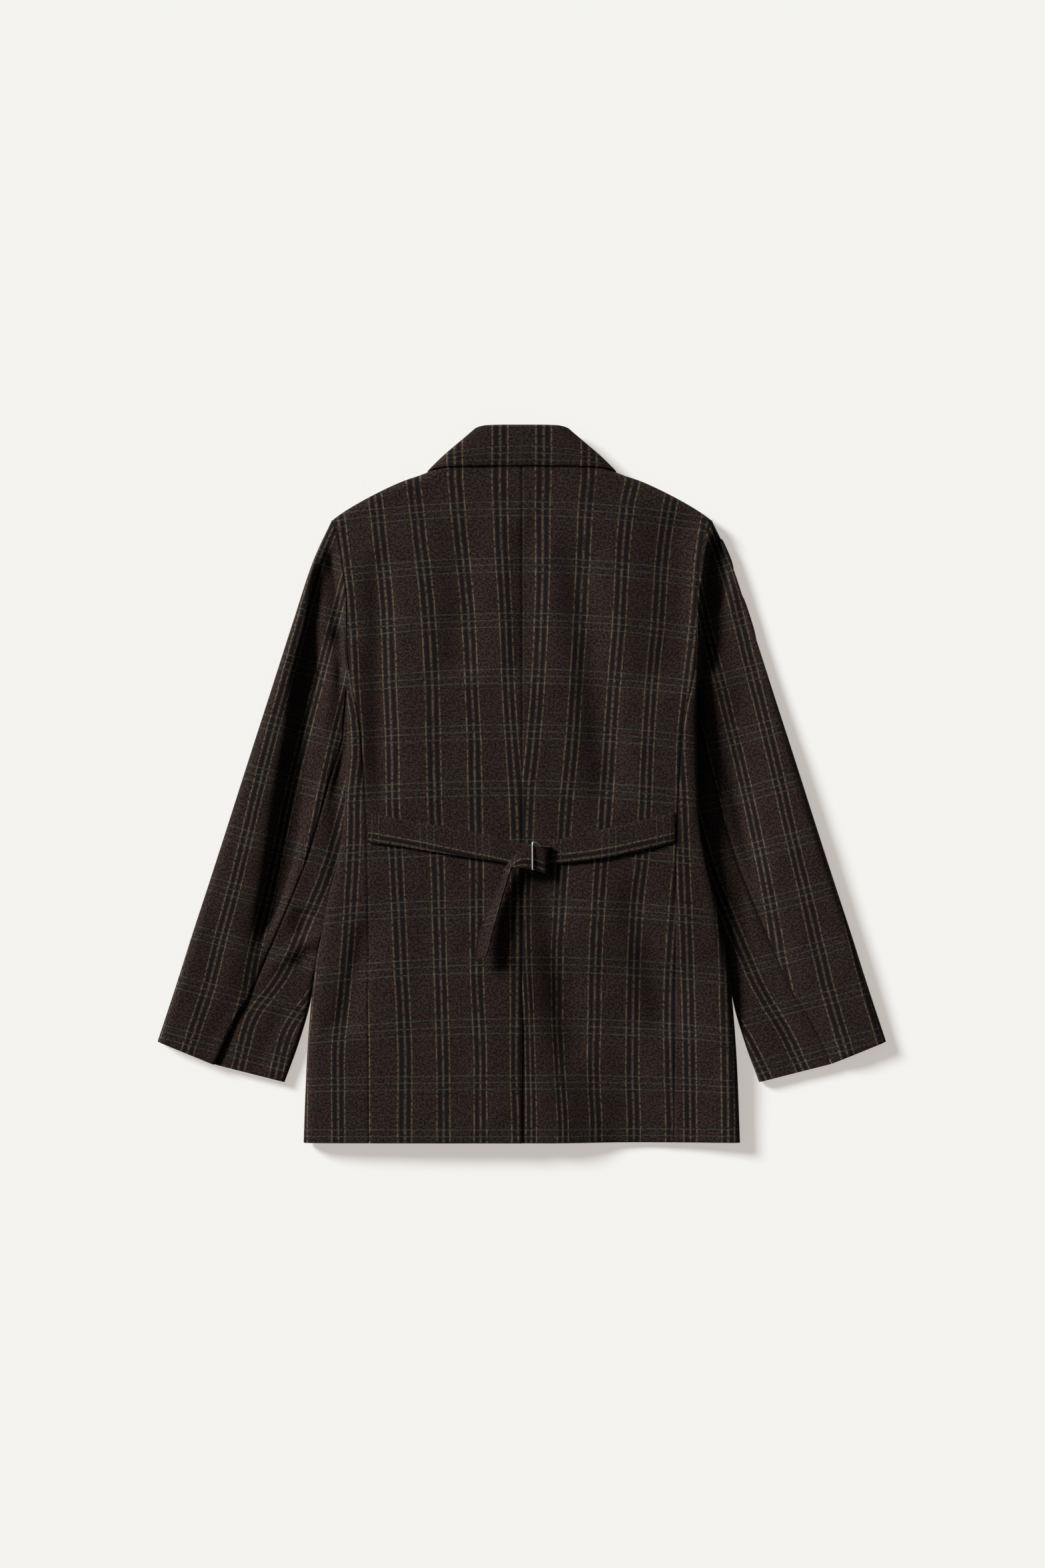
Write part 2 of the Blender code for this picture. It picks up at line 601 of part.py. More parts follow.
def upper_sleeve_surface(side: int, folds) -> Surface:
    """Return the outer face of an upper sleeve, from back seam round the outer edge to front seam."""
    top_columns = ARMHOLE_FLAT_ROWS + SHOULDER_ROLL_ROWS
    top_share = top_columns / (top_columns + SLEEVE_LOWER_COLUMNS + SHOULDER_ROLL_ROWS)
    mirror = np.array([side, 1.0])

    def top_point(station: float, rise: float) -> np.ndarray:
        flat, turn = shoulder_roll(rise)
        seam, outer = sleeve_seam_at(station) * mirror, sleeve_outer_at(station) * mirror
        width = np.hypot(*(outer - seam))
        share = mix(HALF_GAP / width, 1.0, rolled(flat, turn, width, SLEEVE_ROLL))
        first = armhole_offset(side, rise)
        low, high = armhole_offset(side, 0.0), armhole_offset(side, 1.0)
        chord = mix(low, high, rolled(flat, turn, SHOULDER_Y - UNDERARM_Y, SLEEVE_ROLL))
        plan = mix(seam, outer, share) + (first - chord)[:2] * (1 - station) ** ARMHOLE_BOW_POWER
        crown = np.sin(np.minimum(share / CROWN_AT, 1.0) * np.pi / 2)
        height = mix(seam_height_at(station), crown_at(station), crown)
        folded = fold_height(folds, plan[0], plan[1]) * ease(share / FOLD_CLEAR_OF_SEAM)
        height = height + folded * ease(station / ARMHOLE_BLEND)
        height = mix(outer_height_at(station), height, np.cos(turn))
        height = mix(first[2], height, ease(station / ARMHOLE_BLEND))
        return np.array([plan[0], plan[1], height])

    def lower_point(station: float, back: float) -> np.ndarray:
        turn_share = SHOULDER_ROLL_ROWS / (SHOULDER_ROLL_ROWS + SLEEVE_LOWER_COLUMNS)
        turn = np.clip(back / turn_share, 0.0, 1.0) * np.pi / 2
        flat = np.clip((back - turn_share) / (1 - turn_share), 0.0, 1.0)
        outer, front = sleeve_outer_at(station) * mirror, sleeve_front_at(station) * mirror
        width = np.hypot(*(outer - front))
        share = mix(HALF_GAP / width, 1.0, rolled(1 - flat, np.pi / 2 - turn, width, SLEEVE_ROLL))
        low, high = front_armhole_at(FRONT_PITCH), front_armhole_at(1.0)
        bow = front_armhole_at(mix(FRONT_PITCH, 1.0, share)) - mix(low, high, share)
        plan = mix(front, outer, share) + bow * mirror * (1 - station) ** ARMHOLE_BOW_POWER
        height = outer_height_at(station) * (1 - np.sin(turn))
        return np.array([plan[0], plan[1], height])

    def surface(row: float, across: np.ndarray) -> np.ndarray:
        points = []
        for place in across:
            if place <= top_share:
                points.append(top_point(row, place / top_share))
            else:
                points.append(lower_point(row, (place - top_share) / (1 - top_share)))
        return np.array(points)

    return surface


def under_sleeve_surface(side: int) -> Surface:
    """Return the outer face of an under sleeve: back seam, round the inner edge, to the front seam."""
    total = 2 * INNER_FLAT_COLUMNS + 2 * INNER_ROLL_COLUMNS
    flat_share = INNER_FLAT_COLUMNS / total
    mirror = np.array([side, 1.0])

    def point(station: float, place: float) -> np.ndarray:
        seam, inner = sleeve_seam_at(station) * mirror, sleeve_inner_at(station) * mirror
        front = sleeve_front_at(station) * mirror
        above = place <= 0.5
        start = seam if above else front
        width = np.hypot(*(inner - start))
        nearness = min(place, 1 - place)
        flat = min(nearness / flat_share, 1.0)
        turn = np.clip((nearness - flat_share) / (0.5 - flat_share), 0.0, 1.0) * np.pi / 2
        share = mix(HALF_GAP / width, 1.0, rolled(flat, turn, width, INNER_ROLL))
        plan = mix(start, inner, share)
        if above:
            inner_top = 2 * INNER_EDGE_HEIGHT
            armhole = armhole_offset(side, 0.0)[2]
            seam_height = mix(armhole, seam_height_at(station), ease(station / ARMHOLE_BLEND))
            height = inner_top + (seam_height - inner_top) * (1 - share) ** SEAM_FALL_POWER
            height = mix(INNER_EDGE_HEIGHT, height, np.cos(turn))
        else:
            height = INNER_EDGE_HEIGHT * (1 - np.cos(turn))
        return np.array([plan[0], plan[1], height])

    def surface(row: float, across: np.ndarray) -> np.ndarray:
        return np.array([point(row, place) for place in across])

    return surface


def lapel_surface(side: int) -> Surface:
    """Return the lower face of a lapel, lying on the rest plane from the roll line to its edge."""

    def surface(row: float, across: np.ndarray) -> np.ndarray:
        top = LAPEL_GORGE_Y - LAPEL_GORGE_DROP * across
        y = mix(LAPEL_BOTTOM_Y, top, row)
        x = mix(roll_line_at(y), lapel_edge_at(y), across)
        return np.stack([side * x, y, np.zeros_like(x)], axis=-1)

    return surface


def collar_surface() -> Surface:
    """Return the collar's outer face: leaf edge, over the fold, and down the stand."""
    stations = np.linspace(0.0, 1.0, len(COLLAR))
    section = smooth_curve(stations, np.array(COLLAR))
    columns = COLLAR_FALL_COLUMNS + COLLAR_FOLD_COLUMNS + COLLAR_STAND_COLUMNS
    fall_end = COLLAR_FALL_COLUMNS / columns
    fold_end = (COLLAR_FALL_COLUMNS + COLLAR_FOLD_COLUMNS) / columns

    def surface(row: float, across: np.ndarray) -> np.ndarray:
        side = 1.0 if row >= 0.5 else -1.0
        values = section(abs(2 * row - 1))
        leaf, fold = values[0:3], values[3:6]
        look = np.radians(values[6])
        down = (leaf - fold) / np.linalg.norm(leaf - fold)
        aside = np.array([-down[1], down[0], 0.0]) / np.hypot(down[0], down[1])
        inward = -(np.cos(look) * aside + np.array([0.0, 0.0, np.sin(look)]))
        inward = inward - down * (inward @ down)
        inward = inward / np.linalg.norm(inward)
        centre = fold + down * FOLD_RADIUS
        fall = np.clip(across / fall_end, 0.0, 1.0)[:, None]
        turn = np.clip((across - fall_end) / (fold_end - fall_end), 0.0, 1.0)[:, None] * np.pi
        stand = np.clip((across - fold_end) / (1 - fold_end), 0.0, 1.0)[:, None]
        points = mix(leaf, centre, fall)
        points = points - down * FOLD_RADIUS * np.sin(turn)
        points = points + inward * FOLD_RADIUS * (1 - np.cos(turn))
        points = points + down * values[7] * stand
        return points * np.array([side, 1.0, 1.0])

    return surface


def belt_surface(table) -> Surface:
    """Return the middle face of a half belt that follows the back at the heights its table gives."""
    rows = np.array(table)
    section = smooth_curve(np.linspace(0.0, 1.0, len(rows)), rows)

    def surface(row: float, across: np.ndarray) -> np.ndarray:
        values = section(row)
        points = mix(values[0:3], values[3:6], across[:, None])
        over = back_height(points[:, 0], points[:, 1])
        return points + np.stack([np.zeros_like(over), np.zeros_like(over), over], axis=-1)

    return surface


def grid_points(surface: Surface, rows, columns, out) -> tuple:
    """Return a surface's grid of points and its unit normals, turned to the side that out names."""
    columns = np.asarray(columns, dtype=float)
    low, high = columns[0], columns[-1]
    reach = SLOPE_STEP * (high - low)
    points, normals = [], []
    for row in rows:
        before, after = max(row - SLOPE_STEP, 0.0), min(row + SLOPE_STEP, 1.0)
        along = surface(after, columns) - surface(before, columns)
        left = np.maximum(columns - reach, low)
        right = np.minimum(columns + reach, high)
        over = surface(row, right) - surface(row, left)
        normal = np.cross(along, over)
        normals.append(normal / np.linalg.norm(normal, axis=1)[:, None])
        points.append(surface(row, columns))
    points, normals = np.array(points), np.array(normals)
    middle = normals[len(rows) // 2, len(columns) // 2]
    if middle @ np.array(out, dtype=float) < 0:
        normals = -normals
    return points, normals


def cloth_object(name: str, outer: np.ndarray, inner: np.ndarray, material) -> bpy.types.Object:
    """Make a closed sheet of cloth: a grid extruded to a wall, then set to its two faces."""
    row_count, column_count = outer.shape[:2]
    bm = bmesh.new()
    bmesh.ops.create_grid(bm, x_segments=column_count - 1, y_segments=row_count - 1, size=1.0)
    extruded = bmesh.ops.extrude_face_region(bm, geom=bm.faces[:])
    inner_verts = {item for item in extruded["geom"] if isinstance(item, bmesh.types.BMVert)}
    for vert in bm.verts:
        column = round((vert.co.x + 1) / 2 * (column_count - 1))
        row = round((vert.co.y + 1) / 2 * (row_count - 1))
        face = inner if vert in inner_verts else outer
        vert.co = face[row, column] * MM
    bmesh.ops.recalc_face_normals(bm, faces=bm.faces[:])
    if bm.calc_volume(signed=True) < 0:
        bmesh.ops.reverse_faces(bm, faces=bm.faces[:])
    mesh = bpy.data.meshes.new(name)
    bm.to_mesh(mesh)
    bm.free()
    mesh.shade_smooth()
    mesh.set_sharp_from_angle(angle=np.radians(SHARP_ANGLE))
    mesh.materials.append(material)
    return bpy.data.objects.new(name, mesh)


def panel(name: str, surface: Surface, rows, columns, out, material, wall=WALL) -> bpy.types.Object:
    """Make a cloth panel whose outer face is a surface and whose wall lies behind it."""
    points, normals = grid_points(surface, rows, columns, out)
    return cloth_object(name, points, points - normals * wall, material)


def strap(name: str, surface: Surface, rows, columns, out, material) -> bpy.types.Object:
    """Make a strap whose middle is a surface."""
    points, normals = grid_points(surface, rows, columns, out)
    half = normals * BELT_THICKNESS / 2
    return cloth_object(name, points + half, points - half, material)


def ring_object(name: str, material) -> bpy.types.Object:
    """Make the D-ring: a straight bar over the strap and a bow that passes inside its fold."""
    bar = np.linspace(-1.0, 1.0, RING_BAR_POINTS, endpoint=False)
    turn = np.linspace(0.0, np.pi, RING_BOW_POINTS, endpoint=False)
    reach = RING_BOW * np.concatenate([np.zeros_like(bar), np.sin(turn)])
    x = RING_BAR_X + reach
    y = RING_CENTRE_Y + RING_HALF_BAR * np.concatenate([bar, np.cos(turn)])
    height = back_height(x, y) + RING_LIFT - RING_SLOPE * reach
    curve = bpy.data.curves.new(name, "CURVE")
    curve.dimensions = "3D"
    curve.bevel_depth = RING_WIRE * MM
    curve.bevel_resolution = RING_BEVEL_STEPS
    spline = curve.splines.new("POLY")
    spline.points.add(len(y) - 1)
    spline.use_cyclic_u = True
    for point, place in zip(spline.points, np.stack([x, y, height], axis=-1) * MM):
        point.co = (*place, 1.0)
    curve.materials.append(material)
    return bpy.data.objects.new(name, curve)


def finish(name: str, colour, roughness: float, metallic: float):
    """Make a plain material."""
    material = bpy.data.materials.new(name)
    material.use_nodes = True
    shader = material.node_tree.nodes["Principled BSDF"]
    shader.inputs["Base Color"].default_value = colour
    shader.inputs["Roughness"].default_value = roughness
    shader.inputs["Metallic"].default_value = metallic
    return material


def body_pieces(wool) -> list:
    """Make the backs, sides, fronts and lapels."""
    long_rows = np.linspace(0.0, 1.0, HEM_TO_UNDERARM_ROWS + ARMHOLE_FLAT_ROWS + SHOULDER_ROLL_ROWS + 1)
    side_rows = np.linspace(0.0, 1.0, HEM_TO_UNDERARM_ROWS + 1)
    up, down = (0, 0, 1), (0, 0, -1)
    pieces = []
    for word, side in (("left", -1), ("right", 1)):
        back_columns = np.linspace(0.0, 1.0, BACK_COLUMNS + 1)
        pieces.append(panel(f"back_{word}", back_surface(side), long_rows, back_columns, up, wool))
        pieces.append(panel(f"side_{word}", side_surface(side), side_rows, SIDE_COLUMNS, down, wool))
        pieces.append(panel(f"front_{word}", front_surface(side), long_rows, FRONT_COLUMNS, down, wool))
        lapel_rows = np.linspace(0.0, 1.0, LAPEL_ROWS + 1)
        lapel_columns = np.linspace(0.0, 1.0, LAPEL_COLUMNS + 1)
        lapel = lapel_surface(side)
        pieces.append(panel(f"lapel_{word}", lapel, lapel_rows, lapel_columns, down, wool, COLLAR_WALL))
    return pieces


def sleeve_pieces(wool) -> list:
    """Make the two-piece sleeves."""
    upper_columns = ARMHOLE_FLAT_ROWS + 2 * SHOULDER_ROLL_ROWS + SLEEVE_LOWER_COLUMNS
    under_columns = 2 * (INNER_FLAT_COLUMNS + INNER_ROLL_COLUMNS)
    rows = np.linspace(0.0, 1.0, SLEEVE_ROWS + 1)
    folds = {-1: SLEEVE_FOLDS_LEFT, 1: SLEEVE_FOLDS_RIGHT}
    pieces = []
    for word, side in (("left", -1), ("right", 1)):
        upper = upper_sleeve_surface(side, folds[side])
        columns = np.linspace(0.0, 1.0, upper_columns + 1)
        pieces.append(panel(f"upper_sleeve_{word}", upper, rows, columns, (side, 0, 1), wool))
        under = under_sleeve_surface(side)
        columns = np.linspace(0.0, 1.0, under_columns + 1)
        under_rows = rows[UNDER_SLEEVE_FIRST_ROW:]
        pieces.append(panel(f"under_sleeve_{word}", under, under_rows, columns, (-side, 0, 0), wool))
    return pieces


def trim_pieces(wool, metal) -> list:
    """Make the collar, the half belts and the ring."""
    collar_rows = np.linspace(0.0, 1.0, 2 * COLLAR_HALF_ROWS + 1)
    collar_columns = COLLAR_FALL_COLUMNS + COLLAR_FOLD_COLUMNS + COLLAR_STAND_COLUMNS
    collar_places = np.linspace(0.0, 1.0, collar_columns + 1)
    collar = panel("collar", collar_surface(), collar_rows, collar_places, (0, 1, 0), wool, COLLAR_WALL)
    pieces = [collar, ring_object("ring", metal)]
    for word, table in (("left", BELT_LEFT), ("right", BELT_RIGHT)):
        rows = np.linspace(0.0, 1.0, BELT_ROWS_PER_SECTION * (len(table) - 1) + 1)
        columns = np.linspace(0.0, 1.0, BELT_COLUMNS + 1)
        pieces.append(strap(f"belt_{word}", belt_surface(table), rows, columns, (0, 0, 1), wool))
    return pieces


def main() -> None:
    """Clear the scene and build the blazer."""
    for item in list(bpy.data.objects):
        bpy.data.objects.remove(item)
    wool = finish("wool", WOOL_COLOUR, WOOL_ROUGHNESS, metallic=0.0)
    metal = finish("ring_metal", METAL_COLOUR, METAL_ROUGHNESS, metallic=1.0)
    collection = bpy.data.collections.new("blazer")
    bpy.context.scene.collection.children.link(collection)
    parent = bpy.data.objects.new("blazer_origin", None)
    collection.objects.link(parent)
    for piece in body_pieces(wool) + sleeve_pieces(wool) + trim_pieces(wool, metal):
        collection.objects.link(piece)
        piece.parent = parent


main()
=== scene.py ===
"""Looks of a wool blazer laid flat on its front, back upwards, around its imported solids.

X runs across the garment, Y from hem to collar and Z up from the surface it lies on.
Tables hold millimetres, apart from shares of a way, numbers of rows and the collar's turn in degrees.
MM turns them into metres when a mesh is written.
Each cloth piece is a fine grid on its solid's form with creases pressed in and a wall behind it.
A UV map gives each point's place in the cloth, in metres, and the plaid is woven on that.
"""

import logging
from dataclasses import dataclass
from enum import Enum
from typing import Callable, NamedTuple, Sequence

import bpy
import numpy as np
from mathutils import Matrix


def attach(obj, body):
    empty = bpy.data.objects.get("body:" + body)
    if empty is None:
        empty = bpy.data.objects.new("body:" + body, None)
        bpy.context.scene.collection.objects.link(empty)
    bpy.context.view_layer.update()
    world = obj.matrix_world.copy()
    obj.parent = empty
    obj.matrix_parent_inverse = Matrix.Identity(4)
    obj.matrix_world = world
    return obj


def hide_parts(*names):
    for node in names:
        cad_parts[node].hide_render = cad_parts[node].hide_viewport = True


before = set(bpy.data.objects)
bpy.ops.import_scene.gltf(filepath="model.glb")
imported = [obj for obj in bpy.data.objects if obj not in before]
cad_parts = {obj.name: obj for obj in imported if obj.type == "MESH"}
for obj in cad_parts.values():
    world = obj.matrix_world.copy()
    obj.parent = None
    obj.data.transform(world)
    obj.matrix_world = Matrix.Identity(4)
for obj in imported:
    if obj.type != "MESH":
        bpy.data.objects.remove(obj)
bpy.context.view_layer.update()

LOG = logging.getLogger("blazer")
BODY = "root"
MM = 0.001
TINY = 1e-6
QUARTER_TURN = np.pi / 2
CLOTH_MAP = "cloth"

# Cloth and seams
WALL = 1.8
COLLAR_WALL = 2.2
BELT_THICKNESS = 2.4
HALF_GAP = 0.15
SHARP_ANGLE = 40.0

# Grid steps: cloth that shows, cloth underneath, and the first steps in from an edge
FINE_STEP = 2.8
PLAIN_STEP = 5.5
EDGE_STEPS = (0.0, 0.5, 1.1, 1.9, 3.0, 4.6)

# How far a seam or a folded edge sinks, and over what width
SEAM_DIP = 0.8
HEM_DIP = 0.7
DIP_WIDTH = 1.5

# Whole garment
HEM_Y = -395.5
UNDERARM_Y = 126.0
SHOULDER_X = 208.5
SHOULDER_Y = 291.0
SHOULDER_SEAM_HEIGHT = 12.0
SHOULDER_ROLL = 10.0
NECK_ROLL_START = 62.0
NECK_ROLL_END = 84.0
ARMHOLE_FLAT = 0.7

# Repeats of the plaid: groups of stripes across the cloth and green rows along it, with the
# outer lines' distance from the middle one, and the reach over which rows droop
STRIPE_REPEAT = 42.0
STRIPE_OFFSET = 0.172 * STRIPE_REPEAT
ROW_REPEAT = 61.4
ROW_OFFSET = 0.124 * ROW_REPEAT
DROOP_REACH = 165.0

# Creases fade in and out over this share of their length, starting half way at their ends
CREASE_FADE = 0.25
CREASE_END = 0.5

# Sockets of a mix node that are for colours
MIX_FIRST = 6
MIX_SECOND = 7
MIX_RESULT = 2

Array = np.ndarray
Colour = tuple[float, float, float, float]
Curve = Callable[[Array], Array]
Inputs = dict[str | int, object]
Material = bpy.types.Material
Node = bpy.types.Node
Socket = bpy.types.NodeSocket
Vector = tuple[float, float, float]


class Side(Enum):
    """The two halves of the garment, as the wearer has them."""

    LEFT = -1
    RIGHT = 1

    @property
    def word(self) -> str:
        """Name of the side in the names of pieces."""
        return self.name.lower()


def smooth_curve(keys: Sequence[float], values: Sequence) -> Curve:
    """Make a function that runs smoothly through values and never overshoots them.

    Args:
        keys: Rising places of the values.
        values: One number, or one row of numbers, for each key.

    Returns:
        A function of an array of places.
    """
    keys = np.asarray(keys, dtype=float)
    values = np.asarray(values, dtype=float)
    single = values.ndim == 1
    if single:
        values = values[:, None]
    step = np.diff(keys)[:, None]
    slope = np.diff(values, axis=0) / step
    tangent = np.zeros_like(values)
    tangent[0] = slope[0]
    tangent[-1] = slope[-1]
    before = 2 * step[1:] + step[:-1]
    after = step[1:] + 2 * step[:-1]
    same_way = slope[:-1] * slope[1:] > 0
    safe = np.where(same_way, slope[:-1] * slope[1:], 1.0)
    mean = (before + after) * safe / (before * slope[1:] + after * slope[:-1] + (~same_way))
    tangent[1:-1] = np.where(same_way, mean, 0.0)

    def evaluate(at: Array) -> Array:
        """Read the curve at an array of places."""
        at = np.asarray(at, dtype=float)
        index = np.clip(np.searchsorted(keys, at) - 1, 0, len(keys) - 2)
        width = step[index, 0][..., None]
        part = np.clip((at - keys[index])[..., None] / width, 0.0, 1.0)
        result = (
            (1 + 2 * part) * (1 - part) ** 2 * values[index]
            + part * (1 - part) ** 2 * width * tangent[index]
            + part**2 * (3 - 2 * part) * values[index + 1]
            + part**2 * (part - 1) * width * tangent[index + 1]
        )
        return result[..., 0] if single else result

    return evaluate


class Table:
    """Rows of rounded sizes under named columns, read as smooth curves."""

    def __init__(self, columns: str, *rows: Sequence[float]) -> None:
        """Keep the rows under the names of their columns."""
        self.rows = np.array(rows, dtype=float)
        self.columns = dict(zip(columns.split(), self.rows.T))

    def curve(self, *names: str, key: str = "") -> Curve:
        """Make a smooth function of one column.

        Args:
            names: Columns that the function gives.
            key: Column that it takes, the first one if none is named.

        Returns:
            A function of an array of places.
        """
        keys = self.columns[key or next(iter(self.columns))]
        values = np.stack([self.columns[name] for name in names], axis=1)
        return smooth_curve(keys, values[:, 0] if len(names) == 1 else values)

    def section(self) -> Curve:
        """Make a smooth function of the share of the way from the first row to the last."""
        return smooth_curve(np.linspace(0.0, 1.0, len(self.rows)), self.rows)


# Cross-sections of the body below the armholes, and of the back above them
TORSO = Table(
    "y edge top edge_height tuck ceiling back_seam front_seam",
    (-395.5, 240.7, 24, 12, 12, 1.8, 168, 150),
    (-311, 237.4, 26, 12.5, 12, 2.2, 168.5, 146),
    (-238, 232, 28.5, 14.5, 13, 4.5, 169, 142),
    (-198, 227, 30, 17, 15, 8, 169, 138),
    (-158, 219, 31, 20, 18, 11, 169, 134),
    (-120, 211.7, 32, 22.5, 20, 12.5, 169.5, 130),
    (-87, 203, 33, 24.5, 22, 13.5, 170, 127),
    (-44, 196, 34.5, 26, 27, 14, 171, 124),
    (-10, 194, 36, 27, 33, 14.5, 172.5, 121),
    (63, 192.2, 37, 27.5, 46, 15, 177.5, 114),
    (126, 192.6, 36, 27.5, 60, 15, 190, 108),
    (160, 195.2, 34, 26.5, 60, 15, 192.4, 108),
    (203, 195.6, 31, 24, 60, 15, 192.8, 108),
    (240, 200, 28.5, 21, 60, 15, 197, 108),
    (274, 206, 25.5, 18.5, 60, 15, 202.8, 108),
    (291, 212, 23.5, 17.5, 60, 15, 208.5, 108),
    (366, 212, 20, 16, 60, 15, 208.5, 108),
)

# The back's top line, from the centre of the neck out to the shoulder point
NECK_AND_SHOULDER = Table(
    "x y",
    (0, 365.2),
    (40, 365.3),
    (70, 365),
    (82, 357),
    (104.5, 343.4),
    (132, 333.5),
    (162, 319.5),
    (189, 304.5),
    (202, 296),
    (SHOULDER_X, SHOULDER_Y),
)

# Front edge and lapel along the garment, for the right front
FRONT = Table(
    "y front_edge roll_line lapel_edge",
    (-395.5, -20, -20, -60),
    (40, -20, -20, -60),
    (72, -12, -12, -40),
    (104, 2, 1.6, 7),
    (150, 11.5, 10.2, 42),
    (200, 22, 19.5, 66),
    (250, 33, 29, 84),
    (292, 44, 37, 95),
    (320, 53, 42, 102),
    (345, 64, 46, 106),
    (366, 78, 50, 106),
)

# The front's armhole, by how far up the armhole a point lies
FRONT_ARMHOLE = Table(
    "rise x y",
    (0, 108, 126),
    (0.14, 150, 141),
    (0.3, 164, 170),
    (0.5, 173, 207),
    (0.75, 189, 254),
    (0.9, 201.5, 280),
    (1, SHOULDER_X, SHOULDER_Y),
)

# A sleeve from armhole to cuff, for the right sleeve
SLEEVE = Table(
    "station outer_x outer_y seam_x seam_y front_x front_y inner_x inner_y seam_height crown edge_height",
    (0, 209.4, 291, 194.1, 126.2, 158.4, 151, 140, 120, 23.5, 25, 12),
    (0.08, 229.7, 247, 194.8, 112, 168, 128, 144, 106, 16, 23.5, 12),
    (0.18, 252, 180, 195.6, 90, 176, 100, 150, 84, 11.5, 22.5, 11.2),
    (0.3, 279, 96, 197.6, 55, 188, 60, 161, 44, 10, 21, 10.5),
    (0.42, 305.5, 14, 213, 0, 204, 3, 177, -11, 10, 20, 10),
    (0.5, 324, -44, 236, -80, 226, -85, 199, -97, 10.5, 19.5, 9.8),
    (0.6, 346.5, -113.6, 261, -143, 244, -147, 215, -158, 10.8, 19, 9.5),
    (0.7, 365, -170, 281, -190, 256, -197, 227, -208, 11, 18.5, 9.2),
    (0.8, 379.5, -216, 298, -228, 262, -236, 234.5, -246, 11, 18, 9),
    (0.9, 391, -251, 319, -262, 275, -277, 247, -288, 11, 17, 8.5),
    (1, 402, -284, 341.8, -308.7, 291, -320, 262, -329, 10.5, 15.5, 8),
)

# How far the right sleeve's upper outer side lies below its usual height
OUTER_FALL = Table(
    "station fall",
    (0, 10),
    (0.08, 9.5),
    (0.18, 8),
    (0.3, 5),
    (0.42, 1.5),
    (0.5, 0),
)

# The collar from the centre back round the neck to the end of the leaf below
COLLAR = Table(
    "leaf_x leaf_y leaf_height fold_x fold_y fold_height turn stand",
    (0, 351, 25.2, 0, 395.4, 26, 90, 25.6),
    (35, 350.8, 25.2, 20, 395.4, 26, 90, 25),
    (68, 350.3, 25, 38, 395, 25.6, 90, 23),
    (92, 349.3, 23, 46.5, 394.5, 23.5, 65, 20),
    (102, 347.9, 18.5, 49, 393.8, 18.5, 35, 18),
    (105.5, 346.4, 12, 49.8, 392.8, 12, 0, 18),
    (104.8, 345, 5.6, 49.2, 391.2, 5.6, -42, 17),
    (103, 343.4, 1.2, 48.6, 388.8, 1.2, -74, 17),
    (99.5, 336, 0, 46.5, 381, 0, -90, 16),
    (98, 315, 0, 44.5, 352, 0, -90, 15),
    (96, 296, 0, 42, 322, 0, -90, 14),
)

# Sections across the half belts: both long edges with heights over the back, and how far
# the first ochre line lies above the far edge
BELT_COLUMNS = "near_x near_y near_lift far_x far_y far_lift stripe"
BELT_LEFT = Table(
    BELT_COLUMNS,
    (-168.3, -31.6, 1.6, -169, -63.9, 2.2, 10.7),
    (-132.3, -38.2, 1.6, -130, -69.1, 3, 9.4),
    (-91.9, -45.6, 1.6, -91.9, -75, 3.4, 7.4),
    (-54.4, -52.2, 1.6, -54.4, -80.9, 3.6, 5.4),
    (-26.5, -58.1, 1.6, -25.5, -85.3, 3.4, 3.8),
    (-8.1, -62.5, 1.6, -8.5, -88.5, 2.6, 2.7),
    (8, -66, 1.6, 8, -91, 1.6, 4),
    (18, -67, 1.6, 18, -92.4, 1.6, 7),
    (24.5, -67.2, 1.6, 24.5, -95, 1.6, 10),
    (28.6, -67.8, 2.9, 26.6, -96.6, 2.9, 11),
    (30.2, -68.4, 5.9, 27.4, -97.6, 5.9, 11.5),
    (28.6, -68.4, 8.9, 26.4, -98, 8.9, 11.8),
    (24.5, -68, 10.2, 24.5, -98.2, 10.2, 11.8),
    (12.5, -67.6, 10.2, 12.5, -94, 10.2, 11.8),
    (3, -69, 9.6, 2, -92.6, 10.8, 11),
    (-5, -74, 7.4, -9, -91.4, 11, 6),
    (-18.5, -95, 6, -13, -98.5, 10.5, -1),
    (-29, -121, 6.4, -17.5, -113, 10.2, -3),
    (-43, -152, 8.8, -27.4, -147, 12.4, -3),
    (-50, -176, 11.4, -33.8, -171, 14.6, -3),
    (-51.5, -195, 12.8, -38.2, -188, 15.8, -3),
)

BELT_RIGHT = Table(
    BELT_COLUMNS,
    (31, -62.4, 1.6, 31, -87.4, 2.8, 9.5),
    (40, -61, 1.6, 40, -86.7, 3.4, 9.5),
    (62.5, -55.1, 1.6, 62.5, -84.5, 3.8, 9.7),
    (90.4, -49.2, 1.6, 90.4, -80.9, 3.6, 10),
    (125.7, -40.8, 1.6, 125.7, -73.5, 3.2, 10),
    (160, -32.6, 1.5, 161, -65.3, 1.8, 10),
    (167, -31, 0.4, 167.4, -63.9, 0.4, 10),
)

